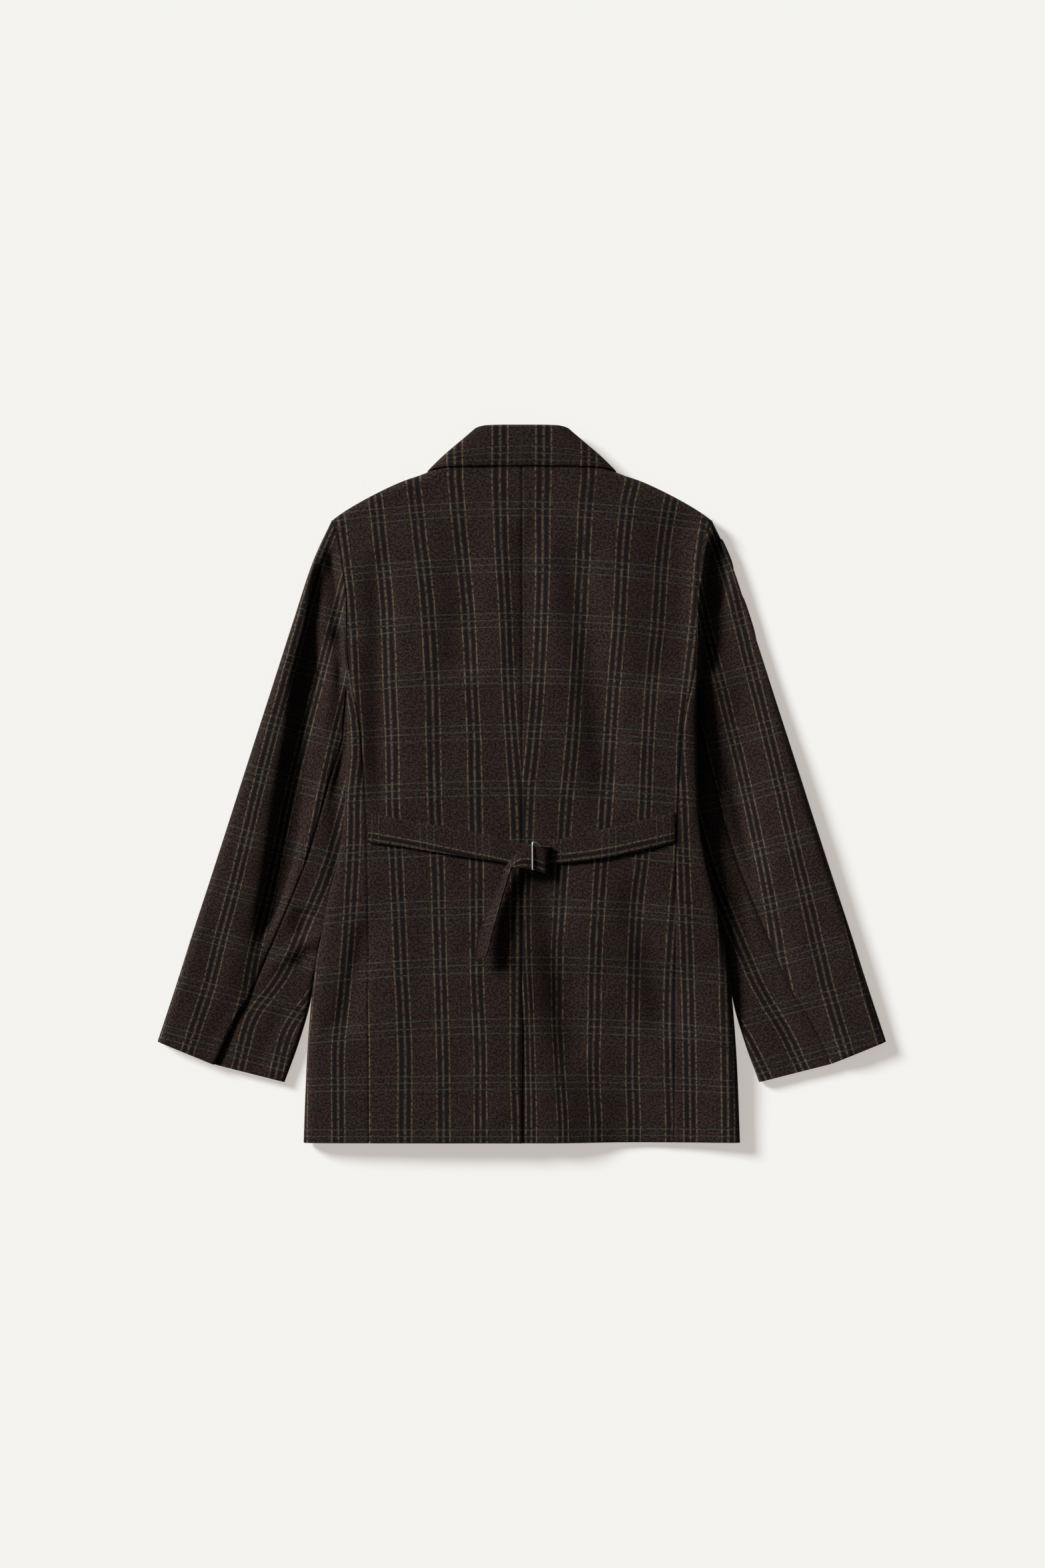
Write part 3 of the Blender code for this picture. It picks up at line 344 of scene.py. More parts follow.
# How far out from the centre seam five groups of stripes lie, down each back
STRIPE_COLUMNS = "y first second third fourth fifth"
STRIPES = {
    Side.LEFT: Table(
        STRIPE_COLUMNS,
        (-370, 4, 45.5, 86, 128.5, 176),
        (-312, 6, 45.5, 86.5, 128, 176),
        (-194, 5, 50, 89.5, 133, 178),
        (-76, 4.5, 50, 93, 139, 180),
        (-18, 6, 51.5, 95.5, 142.5, 180.5),
        (41, 10.5, 52, 97, 143, 181),
        (100, 14.5, 54.5, 98, 145.5, 184.5),
        (188, 18, 59, 103, 148.5, 189.5),
        (276, 23, 68, 113, 157, 200),
        (335, 24.5, 73.5, 120, 164, 209),
    ),
    Side.RIGHT: Table(
        STRIPE_COLUMNS,
        (-370, 10.5, 45, 81, 123.5, 166),
        (-312, 9.5, 41, 78.5, 122, 164),
        (-253, 8, 38, 80, 122.5, 163),
        (-194, 5, 38, 81, 123.5, 165),
        (-135, 3.5, 41, 84, 126.5, 169),
        (-76, 5, 45, 88, 133, 174),
        (-18, 6.5, 49, 92.5, 136, 176),
        (41, 12, 55, 96.5, 138.5, 176.5),
        (100, 17, 59, 100.5, 142, 182.5),
        (188, 21.5, 64.5, 107.5, 150.5, 193),
        (247, 23, 67.5, 110.5, 154.5, 198),
        (306, 23, 70.5, 116, 163, 208),
        (335, 23.5, 73.5, 122.5, 170, 216),
    ),
}

# Green rows: number, where the middle line crosses the centre back, and the droop to the sides
GREEN_ROWS = Table(
    "number y left_droop right_droop",
    (-1, -448, 0, 0),
    (0, -388, 0, 0),
    (1, -328, 2, 3),
    (2, -266, 6.5, 6),
    (3, -198.5, 6.5, 7),
    (4, -134.5, 6, 8),
    (5, -69, 5, 8.5),
    (6, -4.5, 5, 9),
    (7, 57.5, 6, 9.5),
    (8, 118.5, 7.5, 10),
    (9, 180, 8, 11.5),
    (10, 241, 8, 12),
    (11, 303, 8.5, 11),
    (12, 364.5, 8.5, 10),
)

# How far from the back seam each side panel's first group of stripes lies
SIDE_STRIPES = Table(
    "y left right",
    (-395.5, 34, 18),
    (-312, 34, 16.5),
    (-194, 24, 13),
    (-76, 15, 7),
    (-18, 12, 3),
    (41, 4, -4),
    (126, 1, -8),
)

# Where each sleeve's first group of stripes lies, and its gap to the second, down the outer edge
SLEEVE_STRIPES = Table(
    "down left left_gap right right_gap",
    (0, 10, 36, 11, 37),
    (77, 14, 34, 15, 37),
    (145, 18, 33, 20, 36.5),
    (236, 22, 34, 26, 36.5),
    (301, 26, 35, 31, 36.5),
    (354, 30, 36, 35.5, 37),
    (427, 35, 38, 41, 40),
    (487, 38, 40, 46, 44),
    (535, 41, 42, 49, 45),
    (607, 41, 42, 51, 45),
)

# How far from the back seam each under sleeve's first group of stripes lies
UNDER_STRIPES = Table(
    "station left right",
    (0, 25, 32),
    (0.7, 25, 32),
    (0.85, 16, 31),
    (1, 29, 32),
)

# Green rows of the sleeves: number, and how far down each outer edge they lie
SLEEVE_ROWS = Table(
    "number left right",
    (-2, -18, -8),
    (0, 104, 114),
    (1, 165, 175),
    (2, 235, 239),
    (3, 293, 303),
    (4, 364, 365),
    (5, 423, 427),
    (6, 479, 488),
    (7, 537, 543),
    (8, 594, 597),
    (9, 652, 655),
)


class Crease(NamedTuple):
    """A soft trough or ridge along a bowed line in plan, from its upper end to its lower one."""

    start_x: float
    start_y: float
    end_x: float
    end_y: float
    bow: float           # how far the middle swings to the left of the straight line
    height: float        # negative for a trough
    left_width: float
    right_width: float


def creases(*rows: Sequence[float]) -> list[Crease]:
    """Make creases from rows of their values."""
    return [Crease(*row) for row in rows]


BACK_CREASES = creases(
    (-156, 225, -154, -15, 2, -5.6, 12.5, 16),
    (-186, 150, -184, 0, 0, 1.6, 10, 10),
    (56, 262, 95, -15, -4, -8, 21, 26),
    (25, -85, 56, -300, 1, -6.2, 19, 28),
    (56, -195, 116, -455, 0, -9.5, 46, 76),
    (168, -200, 184, -430, 0, -7.5, 62, 45),
    (96, -250, 116, -430, 0, -4, 30, 44),
    (120, -112, 160, -274, 0, -5, 19, 26),
    (-168, -155, -199, -272, 0, -5, 13, 17),
    (-62, 275, -66, 120, 0, -4.6, 24, 24),
    (7, 285, 5, 120, 1, -4.8, 19, 22),
    (-150, 255, -170, 190, 3, -1.4, 10, 13),
    (174, 290, 172, 110, 0, -8.5, 44, 20),
    (-64, 190, -82, 20, 6, -1.1, 20, 26),
    (-96, -110, -112, -300, 5, -1.2, 18, 24),
    (128, 120, 150, -20, 3, -1.3, 15, 18),
    (-30, -205, -26, -380, 2, 0.9, 16, 20),
    (100, -250, 96, -390, 3, 1, 22, 18),
)

FRONT_CREASES = creases(
    (-60, 40, -88, -200, 8, 1.8, 16, 20),
    (-110, -140, -96, -330, -5, 1.5, 18, 13),
    (74, 60, 92, -150, -7, 1.9, 20, 15),
    (48, -180, 66, -350, 4, 1.4, 15, 18),
    (128, 200, 112, 90, 5, 2, 13, 16),
    (-130, 210, -116, 80, -4, 1.7, 15, 13),
)

SLEEVE_CREASES = {
    Side.LEFT: creases(
        (-221, 240, -236, 112, 0, -10, 7.5, 15),
        (-233, 140, -280, -165, -1, -16.5, 12, 26),
        (-203, 262, -201, 150, 0, -11, 12, 6),
        (-195, 170, -196, 40, 0, -5, 9, 5),
        (-197, 70, -199, -90, 0, -5, 9, 6),
        (-262, 60, -322, -170, 0, 2, 16, 16),
        (-240, 205, -262, 70, 3, 1.2, 10, 9),
        (-330, -140, -352, -262, 2, -1.2, 14, 12),
    ),
    Side.RIGHT: creases(
        (209, 268, 203, 130, 0, -12.5, 8, 20),
        (219, 272, 217, 192, -7, -4, 6, 6),
        (229, 200, 247, -100, 0, -10, 30, 28),
        (232, 225, 246, 120, 3, 1.3, 9, 10),
        (270, 30, 306, -150, 4, -1.4, 16, 14),
        (322, -150, 342, -290, 3, -1.2, 13, 15),
    ),
}

UNDER_CREASES = {
    Side.LEFT: creases(
        (-201, 60, -204, -120, 0, -3.5, 10, 7),
        (-241, -140, -243, -166, 0, -4, 11, 11),
        (-238, -180, -246, -204, 0, -4, 11, 11),
        (-304, -214, -212, -163, 0, 2.5, 9, 9),
        (-262, -250, -292, -316, 3, -1.6, 9, 12),
    ),
    Side.RIGHT: creases(
        (238, -110, 262, -210, 2, -2, 9, 9),
        (268, -216, 302, -312, -3, -1.6, 10, 11),
    ),
}


class Ripple(NamedTuple):
    """A low wave of the cloth: its height, wavelength, direction in degrees and start."""

    height: float
    length: float
    heading: float
    phase: float


RIPPLES = [
    Ripple(0.16, 61.0, 14.0, 0.4),
    Ripple(0.13, 83.0, 63.0, 2.1),
    Ripple(0.12, 47.0, 118.0, 4.4),
    Ripple(0.10, 37.0, 158.0, 1.3),
]


def ease(value: Array) -> Array:
    """Step softly from 0 to 1."""
    value = np.clip(value, 0.0, 1.0)
    return value * value * (3 - 2 * value)


def mix(start: Array, end: Array, share: Array) -> Array:
    """Lie a share of the way from start to end."""
    return start + (end - start) * share


def bell(distance: Array, width: float) -> Array:
    """Fall softly from 1 at no distance to 0 past a width."""
    return np.exp(-((distance / width) ** 2))


def graded(length: float, step: float, both_ends: bool = True) -> Array:
    """Share a length into steps that are short near its ends.

    Args:
        length: Length to share.
        step: Usual step.
        both_ends: Whether the far end has short steps too.

    Returns:
        Rising shares from 0 to 1.
    """
    near = np.array(EDGE_STEPS)
    far = length - near[::-1] if both_ends else np.array([length])
    count = max(2, round((far[0] - near[-1]) / step) + 1)
    middle = np.linspace(near[-1], far[0], count)
    return np.concatenate([near[:-1], middle, far[1:]]) / length


def in_turn(*parts: tuple[float, float, int]) -> Array:
    """Run evenly through stretches, each given by its start, end and count, without a point twice."""
    stretches = [np.linspace(*part) for part in parts]
    return np.concatenate([stretches[0]] + [stretch[1:] for stretch in stretches[1:]])


def crease_height(folds: Sequence[Crease], x: Array, y: Array) -> Array:
    """Sum the heights of creases over plan points.

    Args:
        folds: The creases.
        x: Places across, in millimetres.
        y: Places along, in millimetres.

    Returns:
        A height for each point.
    """
    total = np.zeros(np.broadcast(x, y).shape)
    for crease in folds:
        run_x = crease.end_x - crease.start_x
        run_y = crease.end_y - crease.start_y
        length = np.hypot(run_x, run_y)
        along = ((x - crease.start_x) * run_x + (y - crease.start_y) * run_y) / length**2
        aside = ((x - crease.start_x) * run_y - (y - crease.start_y) * run_x) / length
        aside = aside - 4 * crease.bow * along * (1 - along)
        width = np.where(aside > 0, crease.left_width, crease.right_width)
        fade = ease(along / CREASE_FADE + CREASE_END) * ease((1 - along) / CREASE_FADE + CREASE_END)
        total = total + crease.height * fade * bell(aside, width)
    return total


def ripple_height(x: Array, y: Array) -> Array:
    """Sum the low waves of the cloth over plan points.

    Args:
        x: Places across, in millimetres.
        y: Places along, in millimetres.

    Returns:
        A height for each point.
    """
    total = np.zeros(np.broadcast(x, y).shape)
    for wave in RIPPLES:
        heading = np.radians(wave.heading)
        along = x * np.cos(heading) + y * np.sin(heading)
        total = total + wave.height * np.sin(2 * np.pi * along / wave.length + wave.phase)
    return total


def arc_lengths(points: Array, axis: int) -> Array:
    """Measure how far along each line of a grid its points lie.

    Args:
        points: Grid of points.
        axis: Way of the lines, 0 along the rows' order and 1 along the columns'.

    Returns:
        A length for each point, from the line's first one.
    """
    steps = np.linalg.norm(np.diff(points, axis=axis), axis=-1)
    lengths = np.cumsum(steps, axis=axis)
    start = np.zeros_like(np.take(lengths, [0], axis=axis))
    return np.concatenate([start, lengths], axis=axis)


def unit_normals(points: Array, out: Vector) -> Array:
    """Give each point's unit normal.

    Args:
        points: Grid of points.
        out: Where the normal at the grid's middle point looks to, roughly.

    Returns:
        A normal for each point, all on the same face of the grid.
    """
    normal = np.cross(np.gradient(points, axis=0), np.gradient(points, axis=1))
    normal = normal / np.maximum(np.linalg.norm(normal, axis=2), TINY)[..., None]
    rows, columns = normal.shape[:2]
    if normal[rows // 2, columns // 2] @ np.array(out, dtype=float) < 0:
        normal = -normal
    return normal


def shoulder_roll(rise: Array) -> tuple[Array, Array]:
    """Split shares of the way up the armhole into flat shares and turns over the shoulder."""
    turn = np.clip((rise - ARMHOLE_FLAT) / (1 - ARMHOLE_FLAT), 0.0, 1.0) * QUARTER_TURN
    return np.minimum(rise / ARMHOLE_FLAT, 1.0), turn


def rolled(flat: Array, turn: Array, length: Array, roll: float) -> Array:
    """Give the share of a length reached by a flat stretch that ends in a quarter turn."""
    share = roll / length
    return flat * (1 - share) + share * np.sin(turn)


@dataclass
class ClothGrid:
    """A grid of points on the outer face of a piece of cloth, and their places in the plaid."""

    points: Array
    stripes: Array
    rows: Array
    wall: float = WALL
    out: Vector = (0, 0, 1)    # where the outer face looks at the grid's middle

    def faces(self) -> Array:
        """List the faces of the outer side, the inner side and the rim between them.

        Returns:
            The numbers of each face's four corners.
        """
        rows, columns = self.points.shape[:2]
        count = rows * columns
        index = np.arange(count).reshape(rows, columns)
        corners = [index[:-1, :-1], index[1:, :-1], index[1:, 1:], index[:-1, 1:]]
        outer = np.stack([corner.ravel() for corner in corners], axis=1)
        rim = np.concatenate([index[0, :-1], index[:-1, -1], index[-1, :0:-1], index[:0:-1, 0]])
        after = np.roll(rim, -1)
        sides = np.stack([rim, after, after + count, rim + count], axis=1)
        return np.concatenate([outer, outer[:, ::-1] + count, sides])

    def build(self, name: str, material: Material) -> bpy.types.Object:
        """Make the closed shell of cloth.

        Args:
            name: Name of the piece.
            material: Its finish.

        Returns:
            The new object, in the scene.
        """
        normals = unit_normals(self.points, self.out)
        inner = self.points - normals * self.wall
        places = np.concatenate([self.points.reshape(-1, 3), inner.reshape(-1, 3)]) * MM
        faces = self.faces()
        along = self.points[2, 1] - self.points[1, 1]
        over = self.points[1, 2] - self.points[1, 1]
        if np.cross(along, over) @ normals[1, 1] < 0:
            faces = faces[:, ::-1]
        mesh = bpy.data.meshes.new(name)
        mesh.from_pydata(places.tolist(), [], faces.tolist())
        plaid = np.stack([self.stripes, self.rows], axis=-1).reshape(-1, 2)
        plaid = np.tile(plaid, (2, 1)) * MM
        layer = mesh.uv_layers.new(name=CLOTH_MAP)
        layer.data.foreach_set("uv", plaid[faces.ravel()].astype(np.float32).ravel())
        mesh.shade_smooth()
        mesh.set_sharp_from_angle(angle=np.radians(SHARP_ANGLE))
        mesh.materials.append(material)
        piece = bpy.data.objects.new(name, mesh)
        bpy.context.scene.collection.objects.link(piece)
        return piece


def lay_cloth(grid: ClothGrid, node: str, material: Material, *below: str) -> None:
    """Build a cloth piece in place of its solid, and hide the solid.

    Args:
        grid: The cloth's outer face.
        node: Name of the solid that it stands for.
        material: Its finish.
        below: Names of the solids that it lies on; not used.
    """
    piece = grid.build(f"wool_{node}", material)
    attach(piece, BODY)
    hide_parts(node)


class Speckle(NamedTuple):
    """A noise over the cloth and its fade, from a low to a high share between two of its values."""

    scale: float
    detail: float
    start: float
    end: float
    low: float
    high: float


class Graph:
    """Builds the nodes of one material."""

    def __init__(self, name: str) -> None:
        """Start a material with its plain shader."""
        self.material = bpy.data.materials.new(name)
        self.material.use_nodes = True
        self.tree = self.material.node_tree
        self.shader = self.tree.nodes["Principled BSDF"]

    def add(self, kind: str, inputs: Inputs, **settings: object) -> Node:
        """Add a node.

        Args:
            kind: Its type.
            inputs: Outputs or constants for its inputs, by their names or numbers.
            settings: Properties to set on it.

        Returns:
            The new node.
        """
        node = self.tree.nodes.new(kind)
        for key, value in settings.items():
            setattr(node, key, value)
        self.feed(node, inputs)
        return node

    def feed(self, node: Node, inputs: Inputs) -> None:
        """Set a node's inputs.

        Args:
            node: The node.
            inputs: Outputs to link or constants to set, by the inputs' names or numbers.
        """
        for key, value in inputs.items():
            if isinstance(value, Socket):
                self.tree.links.new(value, node.inputs[key])
            else:
                node.inputs[key].default_value = value

    def math(self, operation: str, *values: object) -> Socket:
        """Work out a number from up to three others."""
        return self.add("ShaderNodeMath", dict(enumerate(values)), operation=operation).outputs[0]

    def fade(self, *values: object) -> Socket:
        """Take a value, its start and end and the share at each, and run softly between the shares."""
        inputs = dict(enumerate(values))
        return self.add("ShaderNodeMapRange", inputs, interpolation_type="SMOOTHSTEP").outputs[0]

    def blend(self, share: object, first: object, second: object) -> Socket:
        """Mix a share of the second colour into the first."""
        inputs = {"Factor": share, MIX_FIRST: first, MIX_SECOND: second}
        return self.add("ShaderNodeMix", inputs, data_type="RGBA").outputs[MIX_RESULT]

    def noise(self, place: Socket, scale: float, detail: float, roughness: float = 0.5) -> Node:
        """Read a noise of a scale, with finer noises in it, at a place."""
        inputs = {"Vector": place, "Scale": scale, "Detail": detail, "Roughness": roughness}
        return self.add("ShaderNodeTexNoise", inputs)

    def speckle(self, place: Socket, look: Speckle) -> Socket:
        """Give a speckle's share at a place."""
        spots = self.noise(place, look.scale, look.detail).outputs["Fac"]
        return self.fade(spots, look.start, look.end, look.low, look.high)

    def split(self, vector: Socket) -> dict[str, Socket]:
        """Give a vector's numbers across and along."""
        node = self.add("ShaderNodeSeparateXYZ", {0: vector})
        return {axis: node.outputs[axis] for axis in ("X", "Y")}


@dataclass(frozen=True)
class WoolFinish:
    """Brushed dark brown wool in a windowpane plaid. Sizes are millimetres of cloth."""

    name: str = "wool_plaid"
    stripe_core: float = 0.2
    stripe_edge: float = 1.05
    middle_spread: float = 1.5
    middle_share: float = 0.62
    dash_start: float = -0.4
    dash_end: float = 0.8
    dash_low: float = 0.2
    band_core: float = 0.7
    band_edge: float = 2.4
    band_share: float = 0.92
    band_break: float = 0.3
    row_core: float = 0.25
    row_edge: float = 0.95
    twill: float = 1.6
    twill_slope: float = 0.8
    wobble: float = 0.9
    wobble_scale: float = 0.035
    wobble_detail: float = 1.0
    patch_share: float = 0.3
    patch_scale: float = 0.045
    patch_detail: float = 2.0
    tuft: Speckle = Speckle(0.42, 1.0, 0.39, 0.61, 0.0, 0.6)
    fibre: Speckle = Speckle(0.95, 1.0, 0.38, 0.62, 0.0, 0.4)
    flecks: Speckle = Speckle(1.15, 1.0, 0.68, 0.80, 0.0, 0.4)
    row_wear: Speckle = Speckle(0.42, 2.0, 0.34, 0.60, 0.25, 1.0)
    stripe_wear: Speckle = Speckle(0.28, 2.0, 0.39, 0.60, 0.06, 1.0)
    dark_fibre: Colour = (0.0040, 0.0024, 0.0021, 1.0)
    light_fibre: Colour = (0.0335, 0.0212, 0.0177, 1.0)
    fleck: Colour = (0.090, 0.070, 0.057, 1.0)
    ochre: Colour = (0.180, 0.134, 0.070, 1.0)
    band: Colour = (0.0050, 0.0050, 0.0060, 1.0)
    green: Colour = (0.033, 0.039, 0.030, 1.0)
    nap_scale: float = 1.4
    nap_detail: float = 3.0
    nap_roughness: float = 0.65
    nap_low: float = 0.2
    nap_high: float = 0.8
    nap_strength: float = 0.5
    nap_depth: float = 0.4
    roughness: float = 0.92
    roughness_range: float = 0.08
    specular: float = 0.025
    sheen: float = 0.04
    sheen_roughness: float = 0.55
    sheen_tint: Colour = (0.75, 0.62, 0.54, 1.0)

    def make(self) -> Material:
        """Make the material."""
        return WoolGraph(self).weave()


class WoolGraph(Graph):
    """Weaves a wool finish over the places that the cloth's map gives."""

    def __init__(self, finish: WoolFinish) -> None:
        """Start the material and find each place in its plaid."""
        super().__init__(finish.name)
        self.finish = finish
        place = self.add("ShaderNodeUVMap", {}, uv_map=CLOTH_MAP).outputs["UV"]
        scaled = {0: place, "Scale": 1 / MM}
        self.place = self.add("ShaderNodeVectorMath", scaled, operation="SCALE").outputs[0]
        wander = self.noise(self.place, finish.wobble_scale, finish.wobble_detail).outputs["Color"]
        threads = self.split(self.place)
        for axis, shift in self.split(wander).items():
            offset = self.math("MULTIPLY_ADD", shift, finish.wobble, -finish.wobble / 2)
            threads[axis] = self.math("ADD", threads[axis], offset)
        slant = self.math("MULTIPLY_ADD", threads["X"], finish.twill_slope, threads["Y"])
        self.twill = self.math("SINE", self.math("MULTIPLY", slant, 2 * np.pi / finish.twill))
        self.reach = self.from_middle(threads["X"], STRIPE_REPEAT)
        self.rise = self.from_middle(threads["Y"], ROW_REPEAT)

    def from_middle(self, thread: Socket, repeat: float) -> Socket:
        """Give the distance from the nearest repeat's middle."""
        return self.math("ABSOLUTE", self.math("WRAP", thread, repeat / 2, -repeat / 2))

    def apart(self, value: Socket, offset: float) -> Socket:
        """Give how far a value lies from an offset."""
        return self.math("ABSOLUTE", self.math("SUBTRACT", value, offset))

    def heather(self) -> Socket:
        """Mix dark and light fibres, with a few pale flecks and broad soft patches.

        Returns:
            The ground's colour.
        """
        finish = self.finish
        tuft, fibre = [self.speckle(self.place, layer) for layer in (finish.tuft, finish.fibre)]
        share = self.math("SUBTRACT", self.math("ADD", tuft, fibre), finish.patch_share / 2)
        patch = self.noise(self.place, finish.patch_scale, finish.patch_detail).outputs["Fac"]
        share = self.math("MULTIPLY_ADD", patch, finish.patch_share, share)
        wool = self.blend(share, finish.dark_fibre, finish.light_fibre)
        return self.blend(self.speckle(self.place, finish.flecks), wool, finish.fleck)

    def bands(self) -> Socket:
        """Place the two blue-black bands of each group, with edges broken by the twill.

        Returns:
            The share of their colour.
        """
        finish = self.finish
        aside = self.apart(self.reach, STRIPE_OFFSET / 2)
        aside = self.math("MULTIPLY_ADD", self.twill, finish.band_break, aside)
        return self.fade(aside, finish.band_core, finish.band_edge, finish.band_share, 0.0)

    def rows(self) -> Socket:
        """Place the three thin broken green lines of each row.

        Returns:
            The share of their colour.
        """
        finish = self.finish
        aside = self.math("MINIMUM", self.rise, self.apart(self.rise, ROW_OFFSET))
        line = self.fade(aside, finish.row_core, finish.row_edge, 1.0, 0.0)
        return self.math("MULTIPLY", line, self.speckle(self.place, finish.row_wear))

    def stripes(self) -> Socket:
        """Place the three ochre stripes of each group, dashed by the twill.

        Returns:
            The share of their colour.
        """
        finish = self.finish
        core, edge, spread = finish.stripe_core, finish.stripe_edge, finish.middle_spread
        line = self.fade(self.apart(self.reach, STRIPE_OFFSET), core, edge, 1.0, 0.0)
        middle = self.fade(self.reach, core * spread, edge * spread, finish.middle_share, 0.0)
        dash = self.fade(self.twill, finish.dash_start, finish.dash_end, finish.dash_low, 1.0)
        worn = self.math("MULTIPLY", dash, self.speckle(self.place, finish.stripe_wear))
        return self.math("MULTIPLY", self.math("MAXIMUM", line, middle), worn)

    def weave(self) -> Material:
        """Lay bands, rows and stripes over the ground, and set the nap, roughness and sheen.

        Returns:
            The material.
        """
        finish = self.finish
        colour = self.blend(self.bands(), self.heather(), finish.band)
        colour = self.blend(self.rows(), colour, finish.green)
        colour = self.blend(self.stripes(), colour, finish.ochre)
        fuzz = self.noise(self.place, finish.nap_scale, finish.nap_detail, finish.nap_roughness)
        nap = fuzz.outputs["Fac"]
        bump = {"Strength": finish.nap_strength, "Distance": finish.nap_depth * MM, "Height": nap}
        smoothest = finish.roughness - finish.roughness_range
        self.feed(self.shader, {
            "Base Color": colour,
            "Normal": self.add("ShaderNodeBump", bump).outputs["Normal"],
            "Roughness": self.fade(nap, finish.nap_low, finish.nap_high, smoothest, finish.roughness),
            "Specular IOR Level": finish.specular,
            "Sheen Weight": finish.sheen,
            "Sheen Roughness": finish.sheen_roughness,
            "Sheen Tint": finish.sheen_tint,
        })
        return self.material


@dataclass(frozen=True)
class MetalFinish:
    """Polished thin wire."""

    name: str = "ring_wire"
    colour: Colour = (0.80, 0.80, 0.79, 1.0)
    dull: Colour = (0.56, 0.56, 0.55, 1.0)
    smear_scale: float = 260.0
    smear_detail: float = 3.0
    smear_low: float = 0.3
    smear_high: float = 0.8
    roughness: float = 0.2
    dull_roughness: float = 0.32
    metallic: float = 0.35

    def make(self) -> Material:
        """Make the material.

        Returns:
            The material.
        """
        graph = Graph(self.name)
        place = graph.add("ShaderNodeTexCoord", {}).outputs["Object"]
        smear = graph.noise(place, self.smear_scale, self.smear_detail).outputs["Fac"]
        shine = (self.smear_low, self.smear_high, self.dull_roughness, self.roughness)
        graph.feed(graph.shader, {
            "Base Color": graph.blend(smear, self.dull, self.colour),
            "Roughness": graph.fade(smear, *shine),
            "Metallic": self.metallic,
        })
        return graph.material


@dataclass(frozen=True)
class PaperFinish:
    """Matt off-white surface below the garment, with an even emission that is painted light: it lightens
    and warms the shadows cast on the floor.
    """

    name: str = "paper"
    colour: Colour = (0.366, 0.395, 0.395, 1.0)
    shade: Colour = (0.360, 0.389, 0.389, 1.0)
    tone_scale: float = 1.5
    tone_detail: float = 2.0
    # painted light: the floor's emission colour and strength lift and warm the shadows that the lamps cast
    # on it
    glow: Colour = (0.911, 0.838, 0.778, 1.0)
    painted_glow_strength: float = 0.552

    def make(self) -> Material:
        """Make the material.

        Returns:
            The material.
        """
        graph = Graph(self.name)
        place = graph.add("ShaderNodeTexCoord", {}).outputs["Object"]
        tone = graph.noise(place, self.tone_scale, self.tone_detail).outputs["Fac"]
        graph.feed(graph.shader, {
            "Base Color": graph.blend(tone, self.shade, self.colour),
            "Roughness": 1.0,
            "Specular IOR Level": 0.0,
            # painted light: an even emission that brightens the floor and its shadows
            "Emission Color": self.glow,
            "Emission Strength": self.painted_glow_strength,
        })
        return graph.material


@dataclass
class LaidForm:
    """The shape in which the body lies, shared by the panels and by what lies on them."""

    edge_reach: float = 14.0
    lower_edge_reach: float = 10.0
    side_fall: float = 5.0
    side_fall_power: int = 3

    def __post_init__(self) -> None:
        """Make the curves of the body's tables."""
        self.edge_at = TORSO.curve("edge")
        self.top_at = TORSO.curve("top")
        self.edge_height_at = TORSO.curve("edge_height")
        self.back_seam_at = TORSO.curve("back_seam")
        self.front_seam_at = TORSO.curve("front_seam")
        self.tuck_at = TORSO.curve("tuck")
        self.ceiling_at = TORSO.curve("ceiling")
        self.top_line_at = NECK_AND_SHOULDER.curve("y")

    def back_height(self, x: Array, y: Array) -> Array:
        """Give the height of the back's outer face, as far out as the folded side edge.

        Args:
            x: Places across, in millimetres.
            y: Places along, in millimetres.

        Returns:
            A height for each point.
        """
        edge = self.edge_at(y)
        lip = self.edge_height_at(y)
        flat = edge - self.edge_reach
        reach = np.abs(x)
        crown = self.top_at(y) - self.side_fall * (np.minimum(reach, flat) / edge) ** self.side_fall_power
        crown = crown + crease_height(BACK_CREASES, x, y) + ripple_height(x, y)
        roll = np.clip((reach - flat) / self.edge_reach, 0.0, 1.0)
        return lip + (crown - lip) * np.sqrt(1 - roll**2)

    def back_upper(self, side: Side, rise: Array, across: Array) -> Array:
        """Give points of the back between the underarm and the neck and shoulder line.

        Args:
            side: Which back.
            rise: Shares of the way up the armhole.
            across: Shares of the way from the centre seam to the armhole.

        Returns:
            The points, in the shape that rise and across make together.
        """
        top_line = self.top_line_at(across * SHOULDER_X)
        flat, turn = shoulder_roll(rise)
        share = rolled(flat, turn, top_line - UNDERARM_Y, SHOULDER_ROLL)
        edge_share = rolled(flat, turn, SHOULDER_Y - UNDERARM_Y, SHOULDER_ROLL)
        y = mix(UNDERARM_Y, top_line, share)
        x = across * self.back_seam_at(mix(UNDERARM_Y, SHOULDER_Y, edge_share))
        height = self.back_height(side.value * x, y)
        at_shoulder = ease((x - NECK_ROLL_START) / (NECK_ROLL_END - NECK_ROLL_START))
        seam = SHOULDER_SEAM_HEIGHT + HALF_GAP
        height = height - at_shoulder * (height - seam) * (1 - np.cos(turn))
        return np.stack([side.value * x, y, height], axis=-1)


